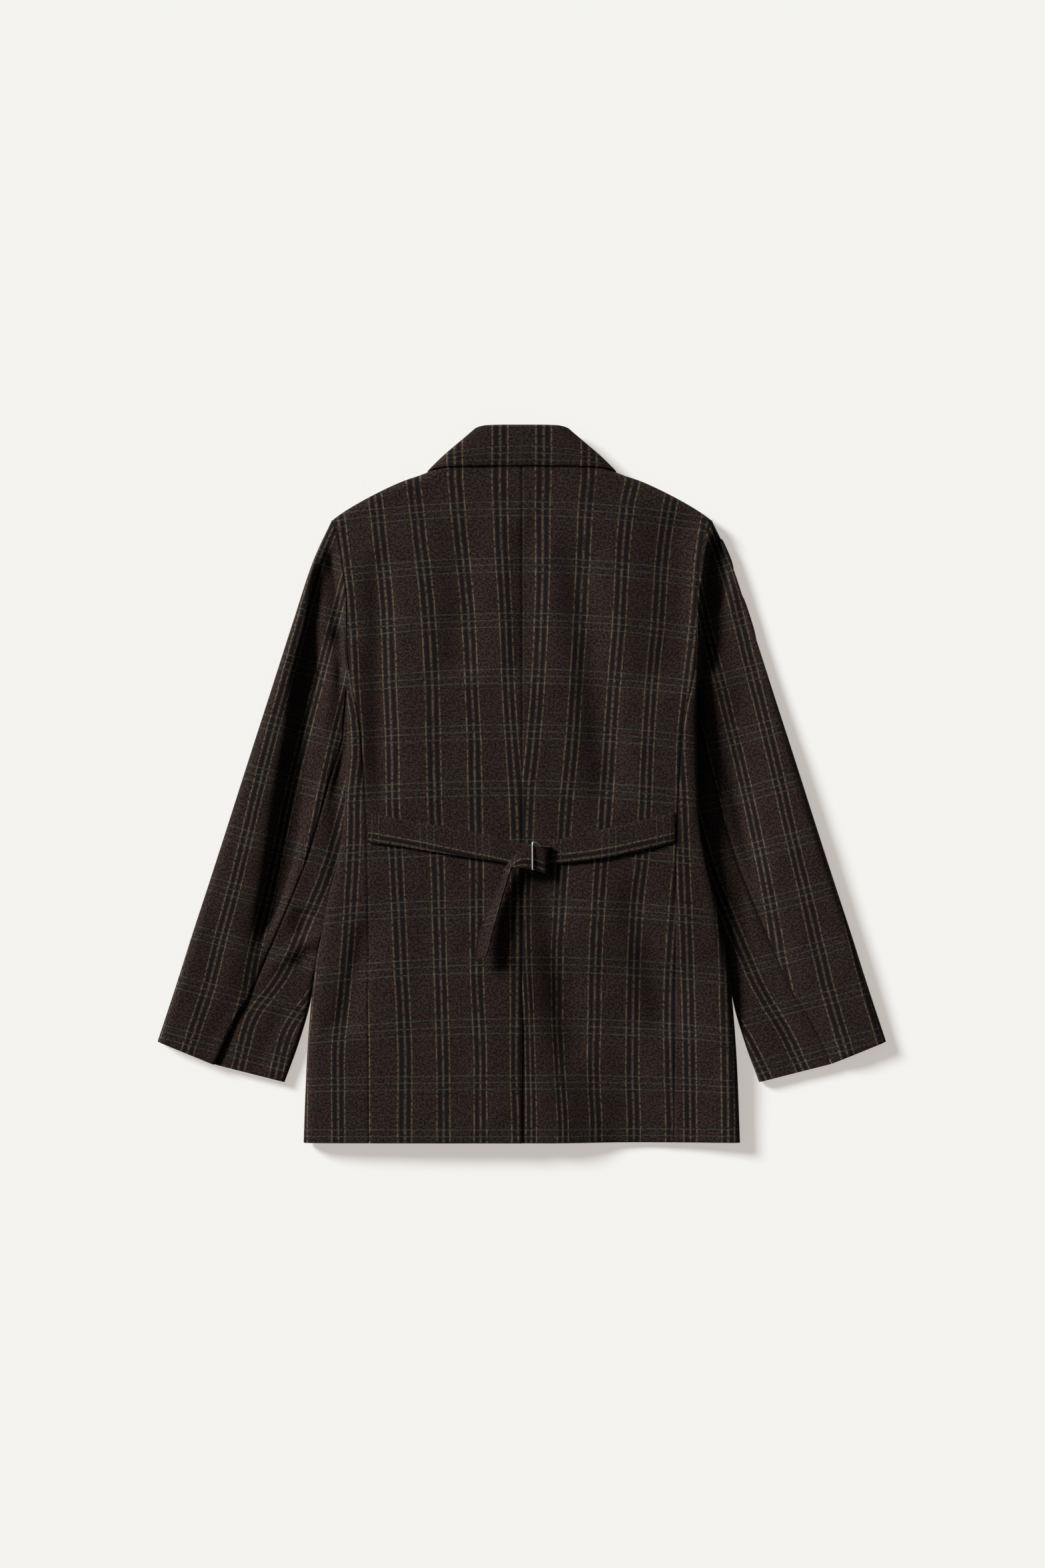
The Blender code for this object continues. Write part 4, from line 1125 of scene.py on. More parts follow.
@dataclass
class Plaid:
    """Where the plaid's stripes and rows lie on one half of the body."""

    side: Side

    def __post_init__(self) -> None:
        """Make the curves of the plaid's tables."""
        word = self.side.word
        self.stripes_at = STRIPES[self.side].curve("first", "second", "third", "fourth", "fifth")
        self.row_at = GREEN_ROWS.curve("number", key="y")
        self.droop_at = GREEN_ROWS.curve(f"{word}_droop", key="y")
        self.side_stripe_at = SIDE_STRIPES.curve(word)

    def across_back(self, x: Array, y: Array) -> Array:
        """Give the back's places across the stripes.

        Args:
            x: Places across the garment.
            y: Places along it.

        Returns:
            A place for each point, in millimetres of cloth.
        """
        groups = self.stripes_at(y)
        spans = (np.abs(x)[..., None] - groups[..., :-1]) / np.diff(groups, axis=-1)
        place = 1 + np.clip(spans, 0.0, 1.0).sum(axis=-1)
        place = place + np.minimum(spans[..., 0], 0.0) + np.maximum(spans[..., -1] - 1, 0.0)
        return self.side.value * place * STRIPE_REPEAT

    def along(self, x: Array, y: Array) -> Array:
        """Give the body's places along the green rows, in millimetres of cloth."""
        straight = y + self.droop_at(y) * (x / DROOP_REACH) ** 2
        return self.row_at(straight) * ROW_REPEAT

    def across_side(self, reach: Array, y: Array) -> Array:
        """Give the side panel's places across the stripes, from the arc beyond its back seam."""
        return self.side.value * (reach - self.side_stripe_at(y))


@dataclass
class BodyHalf:
    """The back, side panel, front and lapel of one half of the body."""

    side: Side
    form: LaidForm
    wool: Material
    turn_rows: int = 15
    upper_rows: int = 67
    vent_top: float = -256.0
    vent_slant: float = 12.0
    vent_step_top: float = -232.0
    vent_step_run: float = 42.0
    vent_underlap: float = 36.0
    vent_step: float = 2.1
    vent_blend: float = 32.0
    vent_lift: float = 0.3
    vent_lift_width: float = 12.0
    seam_tuck: float = 0.5
    seam_tuck_drop: float = 2.0
    side_width: float = 70.0
    side_step: float = 2.6
    side_under_columns: int = 27
    section_steps: int = 60
    tuck_run: float = 12.0
    tuck_drop: float = 0.1
    front_width: float = 130.0
    front_rows: int = 34
    front_turn_rows: int = 11
    front_lap: float = 20.0
    front_crease_clear: float = 25.0
    lap_lift: float = 2.6
    lap_top_y: float = 104.0
    lift_margin: float = 10.0
    lift_run: float = 24.0
    shoulder_line_power: int = 6
    lapel_width: float = 55.0
    lapel_length: float = 200.0
    lapel_lift: float = 3.0
    lapel_bottom_y: float = 105.0
    lapel_gorge_y: float = 318.0
    lapel_gorge_drop: float = 26.0

    def __post_init__(self) -> None:
        """Make the plaid and the curves of the front's tables."""
        self.sign = self.side.value
        self.plaid = Plaid(self.side)
        self.front_edge_at = FRONT.curve("front_edge")
        self.roll_line_at = FRONT.curve("roll_line")
        self.lapel_edge_at = FRONT.curve("lapel_edge")
        self.armhole_at = FRONT_ARMHOLE.curve("x", "y")

    def lower_back(self, across: Array) -> Array:
        """Give the back below the underarm, with the vent's slit and its step.

        Args:
            across: Row of shares from the centre seam to the side seam.

        Returns:
            A grid of points.
        """
        form = self.form
        y = mix(HEM_Y, UNDERARM_Y, graded(UNDERARM_Y - HEM_Y, FINE_STEP, both_ends=False))[:, None]
        underlap = self.vent_underlap if self.side is Side.RIGHT else 0.0
        inset = HALF_GAP - ease((self.vent_top - y) / self.vent_slant) * underlap
        x = mix(inset, form.back_seam_at(y) - HALF_GAP, across)
        y = np.broadcast_to(y, x.shape)
        height = form.back_height(self.sign * x, y)
        below_belt = ease((self.vent_step_top - y) / self.vent_step_run)
        if self.side is Side.RIGHT:
            height = height - self.vent_step * below_belt * ease((self.vent_blend - x) / self.vent_blend)
        else:
            height = height + self.vent_lift * below_belt * bell(x, self.vent_lift_width)
        return np.stack([self.sign * x, y, height], axis=-1)

    def back(self) -> ClothGrid:
        """Give the back, hem to neck and centre seam to side seam and armhole.

        Returns:
            Its outer face.
        """
        across = graded(self.form.back_seam_at(0.0), FINE_STEP)[None, :]
        stretches = (0.0, ARMHOLE_FLAT, self.upper_rows), (ARMHOLE_FLAT, 1.0, self.turn_rows)
        rise = in_turn(*stretches)[1:, None]
        seam = self.form.back_seam_at(UNDERARM_Y)
        inset = mix(HALF_GAP, seam - HALF_GAP, across) / seam
        upper = self.form.back_upper(self.side, rise, np.broadcast_to(inset, (len(rise), inset.shape[1])))
        points = np.concatenate([self.lower_back(across), upper])
        width = np.abs(points[:, -1:, 0] - points[:, :1, 0])
        from_centre, from_side = across * width, (1 - across) * width
        points[..., 2] -= SEAM_DIP * (bell(from_centre, DIP_WIDTH) + bell(from_side, DIP_WIDTH))
        points[..., 2] -= HEM_DIP * bell(points[..., 1] - HEM_Y, DIP_WIDTH)
        if self.side is Side.RIGHT:
            tucked = bell(from_centre, self.seam_tuck)
            points[..., 0] -= self.seam_tuck * tucked
            points[..., 2] -= self.seam_tuck_drop * tucked
        x, y = points[..., 0], points[..., 1]
        return ClothGrid(points, self.plaid.across_back(x, y), self.plaid.along(x, y))

    def side_section(self, y: float) -> tuple[Array, Array, Array, float]:
        """Give the side's cross-section, from the back seam over the folded edge to the front seam.

        Args:
            y: Where to cut.

        Returns:
            Places, heights, arc lengths, and the arc at the folded edge.
        """
        form = self.form
        edge, tuck = form.edge_at(y), form.tuck_at(y)
        lip, ceiling = form.edge_height_at(y), form.ceiling_at(y)
        share = np.linspace(0.0, 1.0, self.section_steps)
        turn = share * QUARTER_TURN
        over_x = mix(form.back_seam_at(y), edge, np.sin(turn))
        over_z = form.back_height(self.sign * over_x, np.full_like(over_x, y))
        under_x = edge - form.lower_edge_reach * (1 - np.cos(turn))
        under_z = lip - (lip - ceiling) * np.sin(turn)
        tuck_x = mix(edge - form.lower_edge_reach, edge - tuck, share)
        tuck_z = ceiling * (1 - self.tuck_drop * share)
        down_x = mix(edge - tuck, edge - tuck - self.tuck_run, share)
        down_z = ceiling * (1 - self.tuck_drop) * (1 + np.cos(share * np.pi)) / 2
        floor_x = mix(edge - tuck - self.tuck_run, form.front_seam_at(y), share)
        x = np.concatenate([over_x, under_x[1:], tuck_x[1:], down_x[1:], floor_x[1:]])
        z = np.concatenate([over_z, under_z[1:], tuck_z[1:], down_z[1:], np.zeros(len(share) - 1)])
        arc = np.concatenate([[0.0], np.cumsum(np.hypot(np.diff(x), np.diff(z)))])
        return x, z, arc, arc[len(share) - 1]

    def side_panel(self) -> ClothGrid:
        """Give the side panel: over the folded edge, back under the body, to the front.

        Returns:
            Its outer face.
        """
        shares = graded(UNDERARM_Y - HALF_GAP - HEM_Y, FINE_STEP, both_ends=False)
        before = graded(self.side_width, self.side_step, both_ends=False)
        after = np.linspace(0.0, 1.0, self.side_under_columns)[1:]
        points, reaches = [], []
        for y in mix(HEM_Y, UNDERARM_Y - HALF_GAP, shares):
            x, z, arc, at_edge = self.side_section(y)
            under = mix(at_edge, arc[-1] - HALF_GAP, after)
            reach = np.concatenate([mix(HALF_GAP, at_edge, before), under])
            plan = self.sign * np.interp(reach, arc, x)
            points.append(np.stack([plan, np.full_like(plan, y), np.interp(reach, arc, z)], axis=-1))
            reaches.append(reach)
        points, reaches = np.array(points), np.array(reaches)
        x, y = points[..., 0], points[..., 1]
        dip = SEAM_DIP * bell(reaches, DIP_WIDTH) + HEM_DIP * bell(y - HEM_Y, DIP_WIDTH)
        points[..., 2] = np.maximum(points[..., 2] - dip, 0.0)
        out = np.minimum(np.abs(x), np.abs(x[:, :1]) + reaches)
        return ClothGrid(points, self.plaid.across_side(reaches, y), self.plaid.along(out, y))

    def under_height(self, x: Array, y: Array) -> Array:
        """Give the height of the front's lower face over the surface it rests on.

        Args:
            x: Places out from the centre, in millimetres.
            y: Places along, in millimetres.

        Returns:
            A height for each point.
        """
        margin, run = self.lift_margin, self.lift_run
        over_lapel = ease((self.lapel_edge_at(y) + margin + run - x) / run)
        over_lapel = over_lapel * ease((y - self.lapel_bottom_y + margin + run) / run)
        lift = self.lapel_lift * over_lapel
        if self.side is Side.LEFT:
            over_front = ease((self.front_lap + margin + run - x) / run)
            over_front = over_front * ease((self.lap_top_y + run - y) / run)
            lift = lift + self.lap_lift * over_front
        return lift

    def front(self) -> ClothGrid:
        """Give the front, hem to shoulder and front edge to side seam and armhole.

        Returns:
            Its outer face, which looks down.
        """
        form = self.form
        across = graded(self.front_width, PLAIN_STEP)[None, :]
        y = mix(HEM_Y, UNDERARM_Y, graded(UNDERARM_Y - HEM_Y, PLAIN_STEP, both_ends=False))[:, None]
        x = mix(self.front_edge_at(y), form.front_seam_at(y) - HALF_GAP, across)
        y = np.broadcast_to(y, x.shape)
        lower = np.stack([self.sign * x, y, self.under_height(x, y)], axis=-1)
        stretches = (0.0, ARMHOLE_FLAT, self.front_rows), (ARMHOLE_FLAT, 1.0, self.front_turn_rows)
        flat, turn = shoulder_roll(in_turn(*stretches)[1:, None])
        share = rolled(flat, turn, SHOULDER_Y - UNDERARM_Y, SHOULDER_ROLL)
        edge_y = mix(UNDERARM_Y, form.top_line_at(FRONT.columns["front_edge"][-1]), share)
        armhole = self.armhole_at(share)
        x = mix(self.front_edge_at(edge_y), armhole[..., 0] - HALF_GAP, across)
        straight = mix(edge_y, armhole[..., 1], across)
        y = mix(straight, form.top_line_at(x), share**self.shoulder_line_power)
        height = self.under_height(x, y)
        height = height + (SHOULDER_SEAM_HEIGHT - HALF_GAP - height) * (1 - np.cos(turn))
        points = np.concatenate([lower, np.stack([self.sign * x, y, height], axis=-1)])
        x, y = points[..., 0], points[..., 1]
        clear = ease(np.minimum(across, 1 - across) * self.front_width / self.front_crease_clear)
        points[..., 2] += clear * crease_height(FRONT_CREASES, x, y)
        stripes = x + self.sign * STRIPE_REPEAT / 4
        return ClothGrid(points, stripes, self.plaid.along(x, y), out=(0, 0, -1))

    def lapel(self) -> ClothGrid:
        """Give the lapel, lying under its front from the roll line to its edge.

        Returns:
            Its outer face, which looks down.
        """
        across = graded(self.lapel_width, PLAIN_STEP)[None, :]
        share = graded(self.lapel_length, PLAIN_STEP)[:, None]
        y = mix(self.lapel_bottom_y, self.lapel_gorge_y - self.lapel_gorge_drop * across, share)
        edge = self.lapel_edge_at(y)
        x = mix(self.roll_line_at(y), edge, across)
        points = np.stack([self.sign * x, y, np.zeros_like(x)], axis=-1)
        return ClothGrid(points, self.sign * (x - edge), y, COLLAR_WALL, (0, 0, -1))

    def build(self) -> None:
        """Build and lay this half's pieces."""
        word = self.side.word
        lay_cloth(self.lapel(), f"lapel_{word}", self.wool)
        lay_cloth(self.front(), f"front_{word}", self.wool, f"lapel_{word}")
        lay_cloth(self.side_panel(), f"side_{word}", self.wool)
        lay_cloth(self.back(), f"back_{word}", self.wool, f"front_{word}", f"side_{word}")


@dataclass
class Sleeve:
    """A two-piece sleeve; the left one has its cuff vent open, the right one sinks beside the body."""

    side: Side
    form: LaidForm
    wool: Material
    samples: int = 400
    edge_samples: int = 240
    top_width: float = 110.0
    top_step: float = 2.0
    turn_columns: int = 13
    low_columns: int = 22
    turn_share: float = 3 / 7
    roll: float = 10.0
    crown_reach: float = 0.45
    armhole_blend: float = 0.14
    crease_blend: float = 0.045
    least_height: float = 4.2
    clear_of_seam: float = 0.2
    seam_reach: float = 20.0
    front_pitch: float = 0.2
    seam_fall_power: int = 3
    bow_power: int = 5
    underarm_step: float = 0.5
    underarm_sink: float = 0.6
    underarm_power: int = 8
    tip_gap: float = 0.6
    tip_power: int = 6
    channel: float = 5.0
    channel_start: float = 0.1
    channel_run: float = 0.1
    channel_end: float = 0.8
    channel_fade: float = 0.2
    vent_from: float = 0.74
    vent_run: float = 0.2
    flap_lift: float = 3.2
    flap_width: float = 11.0
    flap_lap: float = 2.4
    flap_column: int = 8
    flap_wave: float = 0.2
    flap_wave_rate: float = 40.0
    slit_sink: float = 2.4
    slit_width: float = 9.0
    row_lean: float = 0.055
    under_start: float = 0.15
    under_width: float = 70.0
    under_step: float = 2.4
    under_flat: float = 0.2
    under_edge: float = 0.5
    under_skip: int = 4
    under_clear: float = 0.2
    inner_roll: float = 6.0
    inner_edge_height: float = 5.0

    def __post_init__(self) -> None:
        """Make the curves of the sleeve's tables and measure its outer edge."""
        word = self.side.word
        self.mirror = np.array([self.side.value, 1.0])
        self.outer_at = SLEEVE.curve("outer_x", "outer_y")
        self.seam_at = SLEEVE.curve("seam_x", "seam_y")
        self.front_at = SLEEVE.curve("front_x", "front_y")
        self.inner_at = SLEEVE.curve("inner_x", "inner_y")
        self.seam_height_at = SLEEVE.curve("seam_height")
        self.crown_at = SLEEVE.curve("crown")
        self.outer_height_at = SLEEVE.curve("edge_height")
        self.outer_fall_at = OUTER_FALL.curve("fall")
        self.armhole_at = FRONT_ARMHOLE.curve("x", "y")
        self.row_at = SLEEVE_ROWS.curve("number", key=word)
        self.stripe_at = SLEEVE_STRIPES.curve(word)
        self.gap_at = SLEEVE_STRIPES.curve(f"{word}_gap")
        self.under_stripe_at = UNDER_STRIPES.curve(word)
        self.stations = np.linspace(0.0, 1.0, self.samples)
        steps = np.hypot(*np.diff(self.outer_at(self.stations), axis=0).T)
        self.downs = np.concatenate([[0.0], np.cumsum(steps)])
        self.length = self.downs[-1]

    def down_at(self, station: Array) -> Array:
        """Give how far down the outer edge stations lie."""
        return np.interp(station, self.stations, self.downs)

    def station_at(self, down: Array) -> Array:
        """Give the stations that lie so far down the outer edge."""
        return np.interp(down, self.downs, self.stations)

    def from_edge(self, points: Array) -> tuple[Array, Array]:
        """Measure points in plan from the outer edge.

        Args:
            points: Grid of points.

        Returns:
            How far down the outer edge each point lies, and how far in from it.
        """
        station = np.linspace(0.0, 1.0, self.edge_samples)
        edge = self.outer_at(station)
        way = np.gradient(edge, axis=0)
        way = way / np.linalg.norm(way, axis=1)[:, None]
        plan = points[..., :2] * self.mirror
        nearest = np.linalg.norm(plan[..., None, :] - edge, axis=-1).argmin(axis=-1)
        offset = plan - edge[nearest]
        near_way = way[nearest]
        down = self.down_at(station)[nearest] + (offset * near_way).sum(axis=-1)
        inward = offset[..., 0] * near_way[..., 1] - offset[..., 1] * near_way[..., 0]
        return down, np.maximum(inward, 0.0)

    def seam_height(self, station: Array) -> Array:
        """Give the back seam's height.

        Args:
            station: Places from armhole to cuff.

        Returns:
            A height for each place.
        """
        height = self.seam_height_at(station)
        if self.side is Side.RIGHT:
            sinks = ease((station - self.channel_start) / self.channel_run)
            rises = ease((self.channel_end - station) / self.channel_fade)
            height = height - self.channel * sinks * rises
        return height

    def rows_at(self, points: Array) -> Array:
        """Give places along the green rows, which cross the stripes squarely."""
        down, inward = self.from_edge(points)
        return -self.row_at(down + self.row_lean * inward) * ROW_REPEAT

    def armhole_row(self, rise: Array) -> Array:
        """Give the first row: the back's armhole edge moved out by the seam and underarm step.

        Args:
            rise: Shares of the way up the armhole.

        Returns:
            A point for each share.
        """
        edge = self.form.back_upper(self.side, rise, np.ones_like(rise))
        at_underarm = (1 - rise) ** self.underarm_power
        step = 2 * HALF_GAP + self.underarm_step * at_underarm + self.tip_gap * rise**self.tip_power
        shift = [self.side.value * step, np.zeros_like(step), -self.underarm_sink * at_underarm]
        return edge + np.stack(shift, axis=-1)

    def top(self, station: Array, rise: Array, folds: Sequence[Crease]) -> Array:
        """Give points on the upper side of the upper sleeve.

        Args:
            station: Column of places from armhole to cuff.
            rise: Row of places from the back seam to the outer edge.
            folds: Creases to press in.

        Returns:
            A grid of points.
        """
        flat, turn = shoulder_roll(rise)
        seam, outer = self.seam_at(station) * self.mirror, self.outer_at(station) * self.mirror
        width = np.linalg.norm(outer - seam, axis=-1)
        share = mix(HALF_GAP / width, 1.0, rolled(flat, turn, width, self.roll))
        first = self.armhole_row(rise)
        ends = [curve(np.zeros((1, 1))) * self.mirror for curve in (self.seam_at, self.outer_at)]
        chord = mix(*ends, rolled(flat, turn, SHOULDER_Y - UNDERARM_Y, self.roll)[..., None])
        bowed = (first[..., :2] - chord) * ((1 - station) ** self.bow_power)[..., None]
        plan = mix(seam, outer, share[..., None]) + bowed
        crown = np.sin(np.minimum(share / self.crown_reach, 1.0) * QUARTER_TURN)
        height = mix(self.seam_height(station), self.crown_at(station), crown)
        if self.side is Side.RIGHT:
            beyond = ease((share - self.crown_reach) / (1 - self.crown_reach))
            height = height - self.outer_fall_at(station) * beyond
        height = mix(self.outer_height_at(station), height, np.cos(turn))
        height = mix(first[..., 2], height, ease(station / self.armhole_blend))
        if folds:
            pressed = crease_height(folds, plan[..., 0], plan[..., 1])
            pressed = pressed + ripple_height(plan[..., 0], plan[..., 1])
            clear = ease(share / self.clear_of_seam) * ease(station / self.crease_blend) * np.cos(turn)
            height = np.maximum(height + pressed * clear, self.least_height)
        return np.concatenate([plan, height[..., None]], axis=-1)

    def bottom(self, station: Array, back: Array) -> Array:
        """Give points on the lower side of the upper sleeve.

        Args:
            station: Column of places from armhole to cuff.
            back: Row of places from the outer edge to the front seam.

        Returns:
            A grid of points.
        """
        turn = np.clip(back / self.turn_share, 0.0, 1.0) * QUARTER_TURN
        flat = np.clip((back - self.turn_share) / (1 - self.turn_share), 0.0, 1.0)
        outer, front = self.outer_at(station) * self.mirror, self.front_at(station) * self.mirror
        width = np.linalg.norm(outer - front, axis=-1)
        share = mix(HALF_GAP / width, 1.0, rolled(1 - flat, QUARTER_TURN - turn, width, self.roll))
        low, high = self.armhole_at(self.front_pitch), self.armhole_at(1.0)
        bow = self.armhole_at(mix(self.front_pitch, 1.0, share)) - mix(low, high, share[..., None])
        bow = bow * self.mirror * ((1 - station) ** self.bow_power)[..., None]
        plan = mix(front, outer, share[..., None]) + bow
        height = self.outer_height_at(station) * (1 - np.sin(turn)) * np.ones_like(share)
        return np.concatenate([plan, height[..., None]], axis=-1)

    def upper(self) -> ClothGrid:
        """Give the upper sleeve, from the back seam round the outer edge to the front seam.

        Returns:
            Its outer face.
        """
        station = self.station_at(self.length * graded(self.length, FINE_STEP))[:, None]
        flat = graded(self.top_width, self.top_step, both_ends=False) * ARMHOLE_FLAT
        turn = np.linspace(ARMHOLE_FLAT, 1.0, self.turn_columns)[1:]
        rise = np.concatenate([flat, turn])[None, :]
        stretches = (0.0, self.turn_share, self.turn_columns), (self.turn_share, 1.0, self.low_columns)
        low = self.bottom(station, in_turn(*stretches)[None, 1:])
        plain = np.concatenate([self.top(station, rise, []), low], axis=1)
        points = np.concatenate([self.top(station, rise, SLEEVE_CREASES[self.side]), low], axis=1)
        arc = arc_lengths(plain, 1)
        down = self.down_at(station)
        points[..., 2] -= np.where(arc < self.seam_reach, SEAM_DIP * bell(arc, DIP_WIDTH), 0.0)
        on_top = np.arange(points.shape[1]) < rise.shape[1]
        points[..., 2] -= on_top * SEAM_DIP * bell(down, DIP_WIDTH)
        points[..., 2] -= on_top * HEM_DIP * bell(self.length - down, DIP_WIDTH)
        if self.side is Side.LEFT:
            points = self.with_flap(points, station, arc)
        sign = self.side.value
        stripes = sign * self.stripes_in(plain, on_top)
        return ClothGrid(points, stripes, self.rows_at(plain), out=(sign, 0, 1))

    def stripes_in(self, points: Array, on_top: Array) -> Array:
        """Give the upper sleeve's places across the stripes, from the first group inwards.

        Args:
            points: Grid of points before creases.
            on_top: Which columns lie on the upper side.

        Returns:
            A place for each point, in millimetres of cloth.
        """
        down, inward = self.from_edge(points)
        turn = np.arccos(1 - np.minimum(inward / self.roll, 1.0))
        reach = self.roll * turn + np.maximum(inward - self.roll, 0.0)
        place = np.where(on_top, reach, -reach) - self.stripe_at(down)
        return np.where(place > 0, place * STRIPE_REPEAT / self.gap_at(down), place)

    def with_flap(self, points: Array, station: Array, arc: Array) -> Array:
        """Lift the open vent's edge of the upper sleeve and lap it a little over the slit.

        Args:
            points: Grid of points.
            station: Column of places from armhole to cuff.
            arc: How far from the back seam each point lies.

        Returns:
            The changed points.
        """
        near = ease((station - self.vent_from) / self.vent_run) * bell(arc, self.flap_width)
        over = points[:, :1] - points[:, self.flap_column:self.flap_column + 1]
        over = over / np.linalg.norm(over, axis=2)[..., None]
        wave = 1.0 + self.flap_wave * np.sin(station * self.flap_wave_rate)
        points = points + (near * self.flap_lap * wave)[..., None] * over * np.array([1.0, 1.0, 0.0])
        points[..., 2] += near * self.flap_lift * wave
        return points

    def under(self) -> ClothGrid:
        """Give the under sleeve: back seam, round the inner edge, to the front seam.

        Returns:
            Its outer face.
        """
        start = self.down_at(self.under_start)
        station = self.station_at(mix(start, self.length, graded(self.length - start, FINE_STEP)))[:, None]
        flat_places = graded(self.under_width, self.under_step, both_ends=False) * self.under_flat
        turn_places = np.linspace(self.under_flat, self.under_edge, self.turn_columns)[1:]
        top = np.concatenate([flat_places, turn_places])
        places = np.concatenate([top, 1 - top[-2::-self.under_skip]])[None, :]
        above = places <= self.under_edge
        seam, inner = self.seam_at(station) * self.mirror, self.inner_at(station) * self.mirror
        begin = np.where(above[..., None], seam, self.front_at(station) * self.mirror)
        width = np.linalg.norm(inner - begin, axis=-1)
        nearness = np.minimum(places, 1 - places)
        flat = np.minimum(nearness / self.under_flat, 1.0)
        bend = (nearness - self.under_flat) / (self.under_edge - self.under_flat)
        turn = np.clip(bend, 0.0, 1.0) * QUARTER_TURN
        share = mix(HALF_GAP / width, 1.0, rolled(flat, turn, width, self.inner_roll))
        plan = mix(begin, inner, share[..., None])
        inner_top = 2 * self.inner_edge_height
        armhole = self.armhole_row(np.zeros((1, 1)))[..., 2]
        seam_height = mix(armhole, self.seam_height(station), ease(station / self.armhole_blend))
        height = inner_top + (seam_height - inner_top) * (1 - share) ** self.seam_fall_power
        pressed = crease_height(UNDER_CREASES[self.side], plan[..., 0], plan[..., 1])
        height = height + pressed * ease(share / self.under_clear)
        height = mix(self.inner_edge_height, height, np.cos(turn))
        height = np.where(above, height, self.inner_edge_height * (1 - np.cos(turn)))
        points = np.concatenate([plan, height[..., None]], axis=-1)
        arc = arc_lengths(points, 1)
        dip = SEAM_DIP * bell(arc, DIP_WIDTH)
        if self.side is Side.LEFT:
            opened = ease((station - self.vent_from) / self.vent_run)
            dip = dip + self.slit_sink * opened * bell(arc, self.slit_width)
        points[..., 2] -= np.where(above, dip, 0.0)
        stripes = -self.side.value * (arc - self.under_stripe_at(station))
        return ClothGrid(points, stripes, self.rows_at(points))

    def build(self) -> None:
        """Build and lay the sleeve's pieces."""
        word = self.side.word
        lay_cloth(self.under(), f"under_sleeve_{word}", self.wool)
        lay_cloth(self.upper(), f"upper_sleeve_{word}", self.wool, f"under_sleeve_{word}")


@dataclass
class Collar:
    """The collar: fall, fold and stand in one band round the neck."""

    wool: Material
    sections: int = 181
    turn_steps: int = 17
    stand_steps: int = 9
    fall_width: float = 42.0
    fold_radius: float = 4.2
    stripe_start: float = 24.0
    stripe_step: float = 50.0
    row_height: float = 13.6
    leaf_round: float = 0.5
    leaf_sink: float = 1.8
    leaf_sink_width: float = 10.0

    def grid(self) -> ClothGrid:
        """Give the collar: leaf edge, over the fold, and down the stand.

        Returns:
            Its outer face.
        """
        section = COLLAR.section()
        fall = graded(self.fall_width, FINE_STEP, both_ends=False)
        turn = np.linspace(0.0, np.pi, self.turn_steps)[1:]
        stand = np.linspace(0.0, 1.0, self.stand_steps)[1:]
        fall_part = np.concatenate([fall, np.ones(len(turn) + len(stand))])[:, None]
        turn_part = np.concatenate([np.zeros(len(fall)), turn, np.full(len(stand), np.pi)])[:, None]
        stand_part = np.concatenate([np.zeros(len(fall) + len(turn)), stand])[:, None]
        from_leaf = fall_part * self.fall_width
        sink = self.leaf_round * bell(from_leaf, DIP_WIDTH)
        sink = sink + self.leaf_sink * bell(from_leaf, self.leaf_sink_width)
        points = []
        for row in np.linspace(-1.0, 1.0, self.sections):
            values = section(abs(row))
            leaf, fold = values[0:3], values[3:6]
            look, height = np.radians(values[6]), values[7]
            down = (leaf - fold) / np.linalg.norm(leaf - fold)
            aside = np.array([-down[1], down[0], 0.0]) / np.hypot(down[0], down[1])
            inward = -(np.cos(look) * aside + np.array([0.0, 0.0, np.sin(look)]))
            inward = inward - down * (inward @ down)
            inward = inward / np.linalg.norm(inward)
            place = mix(leaf, fold + down * self.fold_radius, fall_part)
            place = place - down * self.fold_radius * np.sin(turn_part)
            place = place + inward * self.fold_radius * (1 - np.cos(turn_part))
            place = place + inward * sink
            place = place + down * height * stand_part
            points.append(place * np.array([1.0 if row >= 0 else -1.0, 1.0, 1.0]))
        points = np.array(points)
        groups = (np.abs(points[..., 0]) - self.stripe_start) / self.stripe_step
        stripes = np.sign(points[..., 0] + TINY) * groups * STRIPE_REPEAT
        rows = arc_lengths(points, 1) - self.row_height
        return ClothGrid(points, stripes, rows, COLLAR_WALL, (0, 1, 0))

    def build(self) -> None:
        """Build and lay the collar."""
        lay_cloth(self.grid(), "collar", self.wool, "back_left", "back_right")


